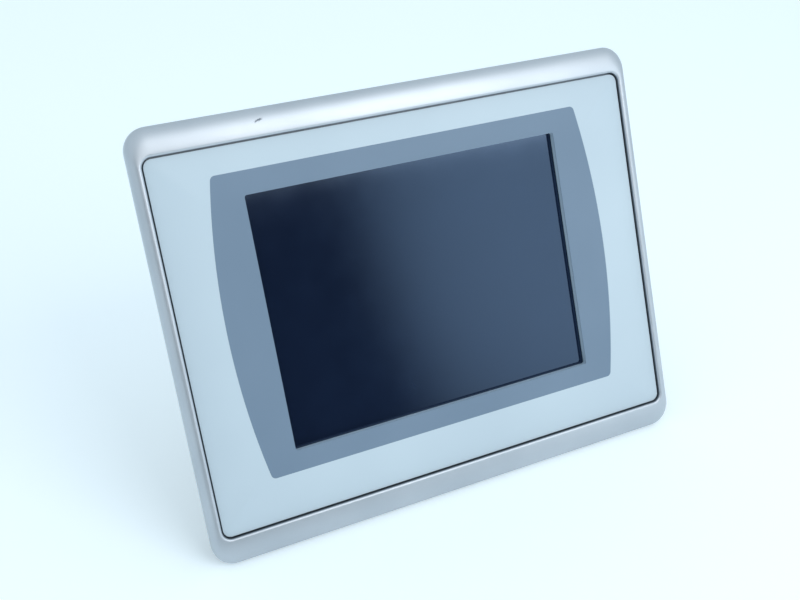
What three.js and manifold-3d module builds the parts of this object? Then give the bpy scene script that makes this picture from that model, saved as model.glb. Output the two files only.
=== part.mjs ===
// Panel-mounted operator terminal with a touch screen: bezel, screen stack, boards and rear boxes.
// Millimetres, +Z up, the screen faces -Y. The origin is the centre of the panel cut-out, in the plane
// where the rear face of the bezel seats on the panel.
import * as THREE from "three";
import { mergeVertices } from "three/addons/utils/BufferGeometryUtils.js";
import Module from "manifold-3d";

const wasm = await Module();
wasm.setup();

// ---- driving dimensions -------------------------------------------------------------------------
const GAP = 0.3; // left between two pieces that touch
const PAST = 1; // how far a cutting tool runs past the face that it opens
const CORNER_STEPS = 6; // facets in each rounded corner
const BULLNOSE_STEPS = 6; // facets across the bezel's rounded band
const ROUND = 16; // facets round a small cylinder

// Front: outlines are width, height and corner radius; front, back and face are places along Y.
const BEZEL = { width: 335, height: 265.5, corner: 14, crown: -10, shoulder: -4.4 };
const LABEL = { width: 318.9, height: 229.1, corner: 5.2, face: -8, thickness: 0.5 };
const GROOVE = 0.9; // open line between the label and the bezel
const LIP = 1.8; // width of the rounded lip round the label's pocket
const LIP_ROLL = [[0.9, 0.15], [0.3, 0.6], [0, 1.2]]; // out from the pocket's wall, down from the crown
const REAR_EDGE = [[-1, 0], [-0.3, -0.3], [0, -1]]; // out from the bezel's side, along Y
const POCKET = grown({ ...LABEL, z: 0 }, GROOVE);
const POCKET_FLOOR = -7.2;
const WEB_BACK = -5.2; // back of the wall that carries the label
const CAVITY = { width: 300, height: 215, corner: 6 };
const SCREEN = { width: 211.2, height: 158.4, corner: 1.5, z: 5 }; // 10.4 inch, 4:3
const SLEEVE = { ...grown(SCREEN, 1.3), corner: 2.6, play: 0.2, setback: 0.4 };
const SLEEVE_FLANGE = { width: 224, height: 171, corner: 3, z: SCREEN.z };
const WEB_OPENING = grown(SLEEVE, 0.4);
const GASKET = { width: 320, height: 251, corner: 9, band: 4, front: -1.6, back: 1.2, taper: 0.8 };

// Screen stack, from the touch screen back to the sheet that carries it.
const TOUCH = { width: 226, height: 173, corner: 2, z: SCREEN.z, front: -3.6, thickness: 1.8 };
const SEAL = { outer: grown(TOUCH, -1), inner: grown(SCREEN, 1.4) };
const LCD = { width: 243, height: 185, corner: 1.5, z: SCREEN.z, front: 0, back: 7.4, wall: 1 };
const LCD_FACE = { opening: grown(SCREEN, 0.9), thickness: 0.8 };
const CELL = { width: 226, height: 172, corner: 1, z: SCREEN.z, front: 1.1, back: 2.5 };
const LIGHT_GUIDE = { width: 222, height: 166, corner: 1, z: SCREEN.z, front: 2.8, back: 6.8 };
const LAMP = { radius: 1.3, halfLength: 113, y: 4.8, clear: 0.4 };
const TRAY = { width: 240, height: 182, corner: 1, z: SCREEN.z, front: 7.1, back: 7.9 };
const TRAY_RIB = { xs: [-60, 60], halfWidth: 3, halfHeight: 70, front: 7.6, back: 8.2 };
const CHASSIS = { width: 284, height: 206, corner: 4, front: 8.5, thickness: 1.2 };
const CHASSIS_BACK = CHASSIS.front + CHASSIS.thickness;
const CHASSIS_LIP = { halfWidth: 120, back: 16 };
const CHASSIS_WINDOW = { xs: [-60, 60], halfWidth: 38, low: 30, high: 75 };
const CABLE_PASS = { halfWidth: 20, low: 12, high: 24 };
const POST = { x: 136, z: 95, radius: 4, tapFloor: -2.5 };
const POSTS = [-POST.z, POST.z].flatMap((z) => [-POST.x, POST.x].map((x) => [x, z]));

// Screws: radii and the height of the head, and how far each kind reaches below its head.
const SCREW = { radius: 1.5, bore: 1.85, head: 2.8, headHeight: 2 };
const SCREW_LENGTH = { chassis: 11, cover: 7.5, earth: 7 };
const TIP_CLEAR = 0.8; // left between a housing screw's tip and the floor of its tapped hole
const CROSS = { halfWidth: 0.35, reach: 0.55, depth: 0.6 }; // reach and depth as shares of the head
const EARTH = { x: 118, z: -92, radius: 2, bore: 2.4, head: 4, headHeight: 2.6 };

// Display boards, x0 to x1 and z0 to z1: components are centre x and z, width, height and rise.
const SHEET = 1.6; // thickness of a circuit board
const LEG = { radius: 2.5, inset: 5 };
const ROOT = 0.5; // how far a part of one solid runs into the next
const INVERTER = {
  x0: -75, z0: -98, x1: 75, z1: -74, front: 13.5,
  parts: [[-14, -86, 22, 16, 9], [14, -86, 22, 16, 9], [-71, -86, 6, 12, 6], [71, -86, 6, 12, 6]],
};
const CAPACITOR = { xs: [-60, -38, 38, 60], z: -86, radius: 4, back: 24 };
const TOUCH_CONTROLLER = {
  x0: 62, z0: 42, x1: 112, z1: 76, front: 13.5,
  parts: [[80, 60, 14, 14, 2], [100, 60, 6, 22, 5], [70, 48, 8, 5, 3]],
};
const INTERFACE = {
  x0: -48, z0: -60, x1: 48, z1: -20, front: 14,
  parts: [[-30, -29, 12, 8, 3], [30, -29, 12, 8, 3], [0, -27, 28, 5, 4]],
};
const STACKER = { halfWidth: 26, low: -47.5, high: -38.5, keys: [-22, 22], keyHalf: 2, keyZone: [20, 24] };
const RIBBON = { width: 24, thickness: 0.5, steps: 16 };
const RIBBON_ROUTE = [[20, -20], [19.5, -8], [15, 6], [11, 14], [10.6, 26]]; // y and z

// Rear housing.
const HOUSING = { width: 308, height: 239, corner: 8, front: 0.3, back: 30, wall: 2.2 };
const HOUSING_EDGE = [[0, -1.8], [-0.5, -0.5], [-1.8, 0]]; // out from the side, along Y from the back
const PILLAR = { xs: [-130, 0, 130], z: 114, radius: 4, recess: 3.4, recessDepth: 2.7, tapFloor: -4.8 };
const PILLARS = PILLAR.xs.flatMap((x) => [-PILLAR.z, PILLAR.z].map((z) => [x, z]));
const PILLAR_HEAD = HOUSING.back - PILLAR.recessDepth + GAP; // underside of a housing screw's head
const CLIP_SLOT = { length: 16, height: 6, y: 12, x: 65, z: 5 };
const WALL_CUT = 4; // half depth of a tool that cuts a side wall
const HOUSING_VENT = { xs: [-36, -24, -12, 12, 24, 36], halfWidth: 1.2, front: 8, back: 24 };
const STACKER_PASS = { halfWidth: 30, low: -50, high: -36 };

// Logic box: steel cover, board, and what stands on the board.
const COVER = { halfWidth: 95, low: -82, high: 72, front: 30.3, back: 53, wall: 1.2 };
const FLANGE = { reach: 12, zs: [-60, 50] };
const COVER_SCREWS = FLANGE.zs.flatMap((z) =>
  [-1, 1].map((side) => [side * (COVER.halfWidth + FLANGE.reach / 2), z]));
const BACK_VENT = { count: 9, pitch: 6, x: -16, low: -8, high: 38, halfWidth: 1.2 };
const TOP_VENT = { count: 15, pitch: 10, x: -70, front: 38.3, back: 49, halfWidth: 1.2 };
const BOARD = { halfWidth: 88, low: -75, high: 65, front: 36 };
const BOARD_BACK = BOARD.front + SHEET;
const BOARD_HOLE = 1.6;
const CHIP_RISE = 1.8;
const CHIPS = [
  [-75, 10, 14, 14], [40, 52, 20, 14], [14, -35, 22, 22], [-20, -30, 16, 12], [70, -40, 14, 20],
  [-70, -48, 10, 10],
]; // centre x and z, width, height
const STANDOFF = { radius: 2.9, sides: 6 };
const STANDOFFS = [[-82, -69], [82, -69], [-82, 59], [82, 59]];
const HEAT_SINK = { x0: -14, x1: 26, z0: -5, z1: 35, base: 3, rise: 10, fins: 9, fin: 1 };
const MEMORY = { x0: -84.7, x1: -19.3, z0: 27.6, z1: 57.6, front: BOARD_BACK + 2.4, sheet: 1.2 };
const MEMORY_CHIPS = { xs: [-74, -60, -44, -30], halfWidth: 5, low: 36, high: 50, rise: 2.2 };
const MEMORY_SOCKET = { x0: -87, x1: -16, z0: 58, z1: 63, rise: 5, arms: [-86, -18], armLow: 32 };
const BATTERY = { x: -60, z: -15, radius: 10, thickness: 3.2, front: BOARD_BACK + 3.2 };
const HOLDER = { half: 13, rise: 5.4, floor: 2.6, play: 0.4, notchHalf: 4, notchZ: 6 };

// Battery door and its hinge: the axis runs along Z.
const DOOR = { x0: -84, x1: -36, z0: -34, z1: 4, thickness: 1.5, lap: 3 };
const HINGE = { x: -86, y: 55.2, radius: 1.9, bore: 0.85, pin: 0.7, z0: -27, z1: -3, play: 0.4, web: 1.2 };
const DOOR_TAB = { inset: 0.5, thickness: 1, drop: 2.6, z0: -19, z1: -11 };
const DOOR_GRIP = { inset: 3, thickness: 1.5, rise: 0.8, z0: -22, z1: -8 };

// Memory card and its socket.
const CARD = { x0: 60.6, depth: 36.4, width: 42.8, thickness: 3.3, y: 40.85, z: 20 };
const CARD_PLAY = 0.5;
const CARD_GRIP = { thickness: 1.2, halfWidth: 12, rise: 0.3 };
const CARD_FRAME = { x0: 52, x1: 92, wall: 2.8, back: 43.5 };

// Sockets in the bottom wall: centre, and the hole that each needs in that wall.
const PROUD = 0.4; // how far a socket stands below the wall
const POWER = { x: -72, y: 43.2, hole: [17.8, 10.4], half: [8.5, 4.8], wall: 0.9, top: -68, floor: -71.5 };
const POLES = [-5.08, 0, 5.08];
const POWER_PIN = { half: [0.5, 0.5], low: -80 };
const PLUG = { half: [8, 5.5], nose: [7.2, 3.5], noseTop: -72.4, drop: 13 };
const PLUG_CONTACT = { half: [0.9, 0.9], low: -81.5 };
const PLUG_WIRE = { radius: 1.5, dy: -1.5, depth: 5 };
const PLUG_CLAMP = { radius: 1.7, dy: 4.5, below: 5 };
const SERIAL = { x: -38, y: 44.5, hole: [19.6, 10.8], half: [9.3, 4.9], top: -66, shell: 6 };
const SERIAL_FLANGE = { half: [15.5, 6.25], thickness: 0.8 };
const SERIAL_D = { wide: 9, narrow: 7.6, half: 4.4, wall: 0.6 };
const SERIAL_POST = { dx: 12.5, radius: 2.4 };
const SERIAL_PINS = { rows: [[5, 1.4], [4, -1.4]], pitch: 2.77, radius: 0.5 };
const NETWORK = { x: -4, y: 44.65, hole: [16.8, 14.2], half: [8, 6.75], mouth: 0.6, top: -63 };
const NETWORK_CAVITY = { half: [5.9, 4], top: -69, latchHalf: 3, latch: [3, 5.6], latchTop: -71 };
const USB = { xs: [20, 38], y: 41.3, hole: [14, 6.6], half: [6.6, 2.9], wall: 0.5, top: -68, floor: -71 };
const USB_TONGUE = { half: 5.5, front: -0.2, back: 1.6, setback: 0.8 };
const RESET = { x: 58, y: 42.5, shaft: 1.8, hole: 2.2, proud: 1.2, top: 5, collar: 3, play: 0.4 };
const SWITCH = { half: 3.5, low: -74.6, high: -69, back: 2.5 };

// ---- materials ----------------------------------------------------------------------------------
const material = (color, roughness, metalness = 0) =>
  new THREE.MeshStandardMaterial({ color, roughness, metalness });
const silverPaint = material(0xa6b7c5, 0.38, 0.55);
const labelFilm = material(0xc0d7e6, 0.6);
const blackRubber = material(0x22262a, 0.85);
const lipPlastic = material(0x8fa3b3, 0.5);
const darkGlass = material(0x1b283b, 0.06);
const clearAcrylic = material(0xdfe8ea, 0.15);
const lampGlass = material(0xf2f2ea, 0.2);
const zincSteel = material(0xa9aeb0, 0.4, 0.9);
const screwSteel = material(0xb9bcbf, 0.3, 1);
const charcoalPlastic = material(0x34383c, 0.6);
const blackPlastic = material(0x1c1e20, 0.5);
const greenBoard = material(0x1f5a3c, 0.5);
const greenPlug = material(0x3a8f4a, 0.5);
const aluminium = material(0xb4b8bb, 0.35, 1);
const amberFilm = material(0xb8741e, 0.35);
const nickel = material(0xc4c6c4, 0.25, 1);

// ---- solids -------------------------------------------------------------------------------------
// Outline with this much more on every side.
function grown({ width, height, corner, z }, by) {
  return { width: width + 2 * by, height: height + 2 * by, corner: corner + by, z };
}

function solid(geometry) {
  geometry.deleteAttribute("normal");
  geometry.deleteAttribute("uv");
  const merged = mergeVertices(geometry, 1e-4);
  return new wasm.Manifold(
    new wasm.Mesh({
      numProp: 3,
      vertProperties: merged.attributes.position.array,
      triVerts: new Uint32Array(merged.index.array),
    }),
  );
}

// Box from its lowest and highest corners.
function box(x0, y0, z0, x1, y1, z1) {
  const shape = new THREE.BoxGeometry(x1 - x0, y1 - y0, z1 - z0);
  return solid(shape.translate((x0 + x1) / 2, (y0 + y1) / 2, (z0 + z1) / 2));
}

// Box round a centre in X and Y, from z0 to z1.
const block = ({ x, y }, [halfX, halfY], z0, z1) =>
  box(x - halfX, y - halfY, z0, x + halfX, y + halfY, z1);

// Cylinder along Y from y0 to y1, and the same along Z and along X.
function rodY(x, z, radius, y0, y1, facets = ROUND) {
  const shape = new THREE.CylinderGeometry(radius, radius, y1 - y0, facets);
  return solid(shape.translate(x, (y0 + y1) / 2, z));
}
function rodZ(x, y, radius, z0, z1, facets = ROUND) {
  const shape = new THREE.CylinderGeometry(radius, radius, z1 - z0, facets);
  return solid(shape.rotateX(Math.PI / 2).translate(x, y, (z0 + z1) / 2));
}
function rodX(y, z, radius, x0, x1, facets = ROUND) {
  const shape = new THREE.CylinderGeometry(radius, radius, x1 - x0, facets);
  return solid(shape.rotateZ(Math.PI / 2).translate((x0 + x1) / 2, y, z));
}

// Rounded rectangle in an X-Z plane, as the same number of points whatever its size.
function outline({ width, height, corner, z = 0 }, y, grow = 0) {
  const radius = Math.max(corner + grow, 0.2);
  const halfX = width / 2 + grow - radius;
  const halfZ = height / 2 + grow - radius;
  const points = [];
  [[1, 1], [-1, 1], [-1, -1], [1, -1]].forEach(([sx, sz], quarter) => {
    for (let i = 0; i <= CORNER_STEPS; i++) {
      const angle = ((quarter + i / CORNER_STEPS) * Math.PI) / 2;
      const x = sx * halfX + radius * Math.cos(angle);
      points.push([x, y, z + sz * halfZ + radius * Math.sin(angle)]);
    }
  });
  return points;
}

// Skin through outlines, closed into a ring, or capped at both ends.
function loft(outlines, capped = false) {
  const n = outlines[0].length;
  const positions = outlines.flat();
  const index = [];
  const bands = capped ? outlines.length - 1 : outlines.length;
  for (let k = 0; k < bands; k++) {
    const here = k * n;
    const next = ((k + 1) % outlines.length) * n;
    for (let i = 0; i < n; i++) {
      const j = (i + 1) % n;
      index.push(here + i, here + j, next + j, here + i, next + j, next + i);
    }
  }
  if (capped) {
    const last = (outlines.length - 1) * n;
    for (let i = 1; i < n - 1; i++) index.push(0, i + 1, i, last, last + i, last + i + 1);
  }
  const geometry = new THREE.BufferGeometry();
  geometry.setAttribute("position", new THREE.Float32BufferAttribute(positions.flat(), 3));
  geometry.setIndex(index);
  return solid(geometry);
}

// Flat plate with rounded corners, and a flat ring between two rounded rectangles.
const plate = (size, y0, y1) => loft([outline(size, y1), outline(size, y0)], true);
const ring = (outer, inner, y0, y1) =>
  loft([outline(inner, y0), outline(inner, y1), outline(outer, y1), outline(outer, y0)]);

const joinAll = (solids) => solids.reduce((sum, next) => sum.add(next));
const cutAll = (from, tools) => tools.reduce((left, tool) => left.subtract(tool), from);

// Screw along Y with its head to the rear, the underside of the head at x, y, z.
function screw(x, y, z, length, { radius, head, headHeight } = SCREW) {
  const profile = [
    [0, -length], [radius, -length + radius / 2], [radius, 0], [head, 0],
    [head, headHeight * 0.5], [head * 0.72, headHeight], [0, headHeight],
  ].map(([r, h]) => new THREE.Vector2(r, h));
  const turned = solid(new THREE.LatheGeometry(profile, 12));
  const arm = head * CROSS.reach;
  const floor = headHeight * (1 - CROSS.depth);
  const slots = [[arm, CROSS.halfWidth], [CROSS.halfWidth, arm]].map(([dx, dz]) =>
    box(-dx, floor, -dz, dx, headHeight + PAST, dz));
  return cutAll(turned, slots).translate([x, y, z]);
}

// ---- the assembly -------------------------------------------------------------------------------
const terminal = new THREE.Group();
function add(name, shape, finish) {
  const { vertProperties, triVerts } = shape.getMesh();
  const geometry = new THREE.BufferGeometry();
  geometry.setAttribute("position", new THREE.BufferAttribute(vertProperties, 3));
  geometry.setIndex(new THREE.BufferAttribute(triVerts, 1));
  geometry.computeVertexNormals();
  const mesh = new THREE.Mesh(geometry, finish);
  mesh.name = name;
  terminal.add(mesh);
}

// Cast frame: a bullnose band round a sunk pocket for the label, open behind for the screen stack.
function bezel() {
  const bullnose = [];
  for (let i = 0; i <= BULLNOSE_STEPS; i++) {
    const angle = (i / BULLNOSE_STEPS) * (Math.PI / 2);
    const share = 1 - Math.cos(angle);
    const y = BEZEL.shoulder + (BEZEL.crown - BEZEL.shoulder) * Math.sin(angle);
    const outside = outline(BEZEL, y);
    const inside = outline(POCKET, y, LIP);
    bullnose.push(outside.map((p, k) => p.map((v, axis) => v + (inside[k][axis] - v) * share)));
  }
  const body = loft([
    ...REAR_EDGE.map(([out, y]) => outline(BEZEL, y, out)),
    ...bullnose,
    ...LIP_ROLL.map(([out, drop]) => outline(POCKET, BEZEL.crown + drop, out)),
    outline(POCKET, POCKET_FLOOR),
    outline(WEB_OPENING, POCKET_FLOOR),
    outline(WEB_OPENING, WEB_BACK),
    outline(CAVITY, WEB_BACK),
    outline(CAVITY, 0),
  ]);
  const posts = POSTS.map(([x, z]) =>
    rodY(x, z, POST.radius, WEB_BACK - ROOT, CHASSIS.front - GAP));
  const taps = [
    ...POSTS.map(([x, z]) => rodY(x, z, SCREW.bore, POST.tapFloor, CHASSIS.front + PAST)),
    ...PILLARS.map(([x, z]) => rodY(x, z, SCREW.bore, PILLAR.tapFloor, PAST)),
  ];
  const channelInside = grown(GASKET, -GASKET.band - GAP);
  const channel = ring(grown(GASKET, GAP), channelInside, GASKET.front - GAP, PAST);
  return cutAll(joinAll([body, ...posts]), [...taps, channel]);
}

// Foam rubber ring in the channel on the bezel's rear face, standing proud to meet the panel.
function panelGasket() {
  const { front, back, band, taper } = GASKET;
  const inner = grown(GASKET, -band);
  return loft([
    outline(inner, front), outline(inner, back - taper), outline(inner, back, taper),
    outline(GASKET, back, -taper), outline(GASKET, back - taper), outline(GASKET, front),
  ]);
}

// Printed film over the whole pocket, open at the screen.
function frontLabel() {
  return ring(LABEL, SCREEN, LABEL.face, LABEL.face + LABEL.thickness);
}

// Moulded sleeve that lines the screen opening, with a flange behind the bezel's web.
function windowLip() {
  const opening = grown(SCREEN, SLEEVE.play);
  const front = LABEL.face + LABEL.thickness + SLEEVE.setback;
  const flangeFront = WEB_BACK + GAP;
  const flangeBack = TOUCH.front - GAP;
  return loft([
    outline(opening, front), outline(opening, flangeBack), outline(SLEEVE_FLANGE, flangeBack),
    outline(SLEEVE_FLANGE, flangeFront), outline(SLEEVE, flangeFront), outline(SLEEVE, front),
  ]);
}

const touchScreen = () => plate(TOUCH, TOUCH.front, TOUCH.front + TOUCH.thickness);

// Foam strip between the touch screen and the display.
function screenSeal() {
  const front = TOUCH.front + TOUCH.thickness + GAP;
  return ring(SEAL.outer, SEAL.inner, front, LCD.front - GAP);
}

// Pressed steel frame that holds the display cell, the light guide and the lamps together.
function lcdFrontFrame() {
  const inner = grown(LCD, -LCD.wall);
  const plateBack = LCD.front + LCD_FACE.thickness;
  return loft([
    outline(LCD_FACE.opening, LCD.front), outline(LCD_FACE.opening, plateBack),
    outline(inner, plateBack), outline(inner, LCD.back), outline(LCD, LCD.back),
    outline(LCD, LCD.front),
  ]);
}

const lcdPanel = () => plate(CELL, CELL.front, CELL.back);
const lightGuide = () => plate(LIGHT_GUIDE, LIGHT_GUIDE.front, LIGHT_GUIDE.back);

// Thin fluorescent tube along the upper edge of the light guide, side 1, or the lower one, side -1.
function lamp(side) {
  const z = SCREEN.z + side * (LIGHT_GUIDE.height / 2 + LAMP.radius + LAMP.clear);
  return rodX(LAMP.y, z, LAMP.radius, -LAMP.halfLength, LAMP.halfLength, 12);
}

function lcdRearTray() {
  const sheet = plate(TRAY, TRAY.front, TRAY.back);
  const { xs, halfWidth, halfHeight, front, back } = TRAY_RIB;
  const ribs = xs.map((x) => box(
    x - halfWidth, front, SCREEN.z - halfHeight, x + halfWidth, back, SCREEN.z + halfHeight));
  return joinAll([sheet, ...ribs]);
}

// Folded sheet that carries the display and the boards on the bezel's four posts.
function displayChassis() {
  const sheet = plate(CHASSIS, CHASSIS.front, CHASSIS_BACK);
  const lips = [-1, 1].map((side) => {
    const half = CHASSIS.thickness / 2;
    const edge = side * (CHASSIS.height / 2 - half);
    const { halfWidth, back } = CHASSIS_LIP;
    return box(-halfWidth, CHASSIS.front, edge - half, halfWidth, back, edge + half);
  });
  const front = CHASSIS.front - PAST;
  const back = CHASSIS_BACK + PAST;
  const windows = CHASSIS_WINDOW.xs.map((x) => box(
    x - CHASSIS_WINDOW.halfWidth, front, CHASSIS_WINDOW.low,
    x + CHASSIS_WINDOW.halfWidth, back, CHASSIS_WINDOW.high));
  const pass = box(
    -CABLE_PASS.halfWidth, front, CABLE_PASS.low, CABLE_PASS.halfWidth, back, CABLE_PASS.high);
  const holes = POSTS.map(([x, z]) => rodY(x, z, SCREW.bore, front, back));
  return cutAll(joinAll([sheet, ...lips]), [...windows, pass, ...holes]);
}

// Board in an X-Z plane on four short legs, with its components standing on its rear face.
function circuitBoard({ x0, z0, x1, z1, front, parts }) {
  const back = front + SHEET;
  const board = box(x0, front, z0, x1, back, z1);
  const legs = [x0 + LEG.inset, x1 - LEG.inset].flatMap((x) =>
    [z0 + LEG.inset, z1 - LEG.inset].map((z) =>
      rodY(x, z, LEG.radius, CHASSIS_BACK + GAP, front + ROOT, 8)));
  const blocks = parts.map(([x, z, w, h, rise]) =>
    box(x - w / 2, back - ROOT, z - h / 2, x + w / 2, back + rise, z + h / 2));
  return joinAll([board, ...legs, ...blocks]);
}

// Lamp supply: its board carries two transformers, two connectors and four capacitors.
function inverterBoard() {
  const foot = INVERTER.front + SHEET - ROOT;
  const cans = CAPACITOR.xs.map((x) =>
    rodY(x, CAPACITOR.z, CAPACITOR.radius, foot, CAPACITOR.back, 12));
  return joinAll([circuitBoard(INVERTER), ...cans]);
}

// Stacking connector between the interface board and the logic board.
function displayConnector() {
  const front = INTERFACE.front + SHEET + GAP;
  const { halfWidth, low, high, keys, keyHalf, keyZone } = STACKER;
  const body = box(-halfWidth, front, low, halfWidth, BOARD.front - GAP, high);
  const ridges = keys.map((x) =>
    box(x - keyHalf, keyZone[0], low - PAST, x + keyHalf, keyZone[1], high + PAST));
  return joinAll([body, ...ridges]);
}

// Flat cable from the display to the interface board, as a thin bent strip.
function displayRibbon() {
  const { width, thickness, steps } = RIBBON;
  const route = new THREE.CatmullRomCurve3(
    RIBBON_ROUTE.map(([y, z]) => new THREE.Vector3(y, z, 0)));
  const middle = route.getPoints(steps).map(({ x, y }) => new THREE.Vector2(x, y));
  const side = (sign) => middle.map((p, i) => {
    const next = middle[Math.min(i + 1, steps)].clone();
    const along = next.sub(middle[Math.max(i - 1, 0)]).normalize();
    return new THREE.Vector2(-along.y, along.x).multiplyScalar((sign * thickness) / 2).add(p);
  });
  const strip = new THREE.Shape([...side(1), ...side(-1).reverse()]);
  const shape = new THREE.ExtrudeGeometry(strip, { depth: width, bevelEnabled: false });
  const turn = new THREE.Matrix4().set(0, 0, 1, -width / 2, 1, 0, 0, 0, 0, 1, 0, 0, 0, 0, 0, 1);
  return solid(shape.applyMatrix4(turn)); // the drawing's x and y become Y and Z
}

// Moulded rear shell of the display section, with screw pillars, clip slots and air slots.
function rearHousing() {
  const { front, back, wall } = HOUSING;
  const outer = loft([
    outline(HOUSING, front), ...HOUSING_EDGE.map(([out, dy]) => outline(HOUSING, back + dy, out)),
  ].reverse(), true);
  const hollow = plate(grown(HOUSING, -wall), front - PAST, back - wall);
  const pillars = PILLARS.map(([x, z]) => rodY(x, z, PILLAR.radius, front + GAP, back - ROOT));
  const bores = PILLARS.map(([x, z]) => rodY(x, z, SCREW.bore, front - PAST, back + PAST));
  const recesses = PILLARS.map(([x, z]) =>
    rodY(x, z, PILLAR.recess, back - PILLAR.recessDepth, back + PAST));
  const wallZ = HOUSING.height / 2;
  const wallX = HOUSING.width / 2;
  const { length, height, y, x, z } = CLIP_SLOT;
  const topAndBottomSlots = [-x, x].flatMap((at) => [-wallZ, wallZ].map((edge) => box(
    at - length / 2, y - height / 2, edge - WALL_CUT,
    at + length / 2, y + height / 2, edge + WALL_CUT)));
  const sideSlots = [-wallX, wallX].map((edge) => box(
    edge - WALL_CUT, y - height / 2, z - length / 2,
    edge + WALL_CUT, y + height / 2, z + length / 2));
  const vents = HOUSING_VENT.xs.flatMap((at) => [-wallZ, wallZ].map((edge) => box(
    at - HOUSING_VENT.halfWidth, HOUSING_VENT.front, edge - WALL_CUT,
    at + HOUSING_VENT.halfWidth, HOUSING_VENT.back, edge + WALL_CUT)));
  const inside = back - wall - PAST;
  const outside = back + PAST;
  const pass = box(-STACKER_PASS.halfWidth, inside, STACKER_PASS.low,
    STACKER_PASS.halfWidth, outside, STACKER_PASS.high);
  const screwHoles = COVER_SCREWS.map(([sx, sz]) => rodY(sx, sz, SCREW.bore, inside, outside));
  const earthHole = rodY(EARTH.x, EARTH.z, EARTH.bore, inside, outside);
  const shell = joinAll([cutAll(outer, [hollow]), ...pillars]);
  return cutAll(shell, [
    ...bores, ...recesses, ...topAndBottomSlots, ...sideSlots, ...vents, pass, ...screwHoles,
    earthHole,
  ]);
}

// Folded steel box over the logic board: sockets below, card slot on the side, air slots behind.
function logicCover() {
  const { halfWidth, low, high, front, back, wall } = COVER;
  const shell = box(-halfWidth, front, low, halfWidth, back, high);
  const hollow = box(
    -halfWidth + wall, front - PAST, low + wall, halfWidth - wall, back - wall, high - wall);
  const flanges = [-halfWidth - FLANGE.reach, halfWidth - ROOT].map((x) =>
    box(x, front, low, x + FLANGE.reach + ROOT, front + wall, high));
  const knuckles = [[DOOR.z0, HINGE.z0 - HINGE.play], [HINGE.z1 + HINGE.play, DOOR.z1]].map(
    ([z0, z1]) => joinAll([
      rodZ(HINGE.x, HINGE.y, HINGE.radius, z0, z1),
      box(HINGE.x - HINGE.web, back - ROOT, z0, HINGE.x + HINGE.web, HINGE.y, z1),
    ]));
  const sockets = [POWER, SERIAL, NETWORK, ...USB.xs.map((x) => ({ ...USB, x }))].map((socket) =>
    block(socket, socket.hole.map((size) => size / 2), low - PAST, low + wall + PAST));
  const resetHole = rodZ(RESET.x, RESET.y, RESET.hole, low - PAST, low + wall + PAST);
  const slotY = CARD.thickness / 2 + CARD_PLAY;
  const slotZ = CARD.width / 2 + CARD_PLAY;
  const cardSlot = box(halfWidth - wall - PAST, CARD.y - slotY, CARD.z - slotZ,
    halfWidth + PAST, CARD.y + slotY, CARD.z + slotZ);
  const doorway = box(DOOR.x0 + DOOR.lap, back - wall - PAST, DOOR.z0 + DOOR.lap,
    DOOR.x1 - DOOR.lap, back + PAST, DOOR.z1 - DOOR.lap);
  const vents = [];
  for (let i = 0; i < BACK_VENT.count; i++) {
    const x = BACK_VENT.x + i * BACK_VENT.pitch;
    vents.push(box(x - BACK_VENT.halfWidth, back - wall - PAST, BACK_VENT.low,
      x + BACK_VENT.halfWidth, back + PAST, BACK_VENT.high));
  }
  for (let i = 0; i < TOP_VENT.count; i++) {
    const x = TOP_VENT.x + i * TOP_VENT.pitch;
    vents.push(box(x - TOP_VENT.halfWidth, TOP_VENT.front, high - wall - PAST,
      x + TOP_VENT.halfWidth, TOP_VENT.back, high + PAST));
  }
  const pinBore = rodZ(HINGE.x, HINGE.y, HINGE.bore, DOOR.z0 - PAST, DOOR.z1 + PAST);
  const screwHoles = COVER_SCREWS.map(([x, z]) =>
    rodY(x, z, SCREW.bore, front - PAST, front + wall + PAST));
  return cutAll(joinAll([cutAll(shell, [hollow]), ...flanges, ...knuckles]), [
    ...sockets, resetHole, cardSlot, doorway, ...vents, pinBore, ...screwHoles,
  ]);
}

// Hinged door over the battery, with a barrel on its left edge and a snap tab on its free edge.
function batteryDoor() {
  const front = COVER.back + GAP;
  const back = front + DOOR.thickness;
  const panel = box(HINGE.x + HINGE.web, front, DOOR.z0, DOOR.x1, back, DOOR.z1);
  const clear = HINGE.radius + HINGE.play + GAP; // round the cover's own knuckles
  const corners = [[DOOR.z0 - PAST, HINGE.z0], [HINGE.z1, DOOR.z1 + PAST]].map(([z0, z1]) =>
    box(HINGE.x - clear, front - PAST, z0, HINGE.x + clear, back + PAST, z1));
  const barrel = rodZ(HINGE.x, HINGE.y, HINGE.radius, HINGE.z0, HINGE.z1);
  const edge = DOOR.x1 - DOOR.lap - DOOR_TAB.inset;
  const tab = box(edge - DOOR_TAB.thickness, front - DOOR_TAB.drop, DOOR_TAB.z0,
    edge, front + ROOT, DOOR_TAB.z1);
  const gripX = DOOR.x1 - DOOR_GRIP.inset;
  const grip = box(gripX, back - ROOT, DOOR_GRIP.z0,
    gripX + DOOR_GRIP.thickness, back + DOOR_GRIP.rise, DOOR_GRIP.z1);
  const bore = rodZ(HINGE.x, HINGE.y, HINGE.bore, HINGE.z0 - PAST, HINGE.z1 + PAST);
  return cutAll(joinAll([cutAll(panel, corners), barrel, tab, grip]), [bore]);
}

const batteryDoorPin = () =>
  rodZ(HINGE.x, HINGE.y, HINGE.pin, DOOR.z0 + GAP, DOOR.z1 - GAP, 12);

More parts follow.
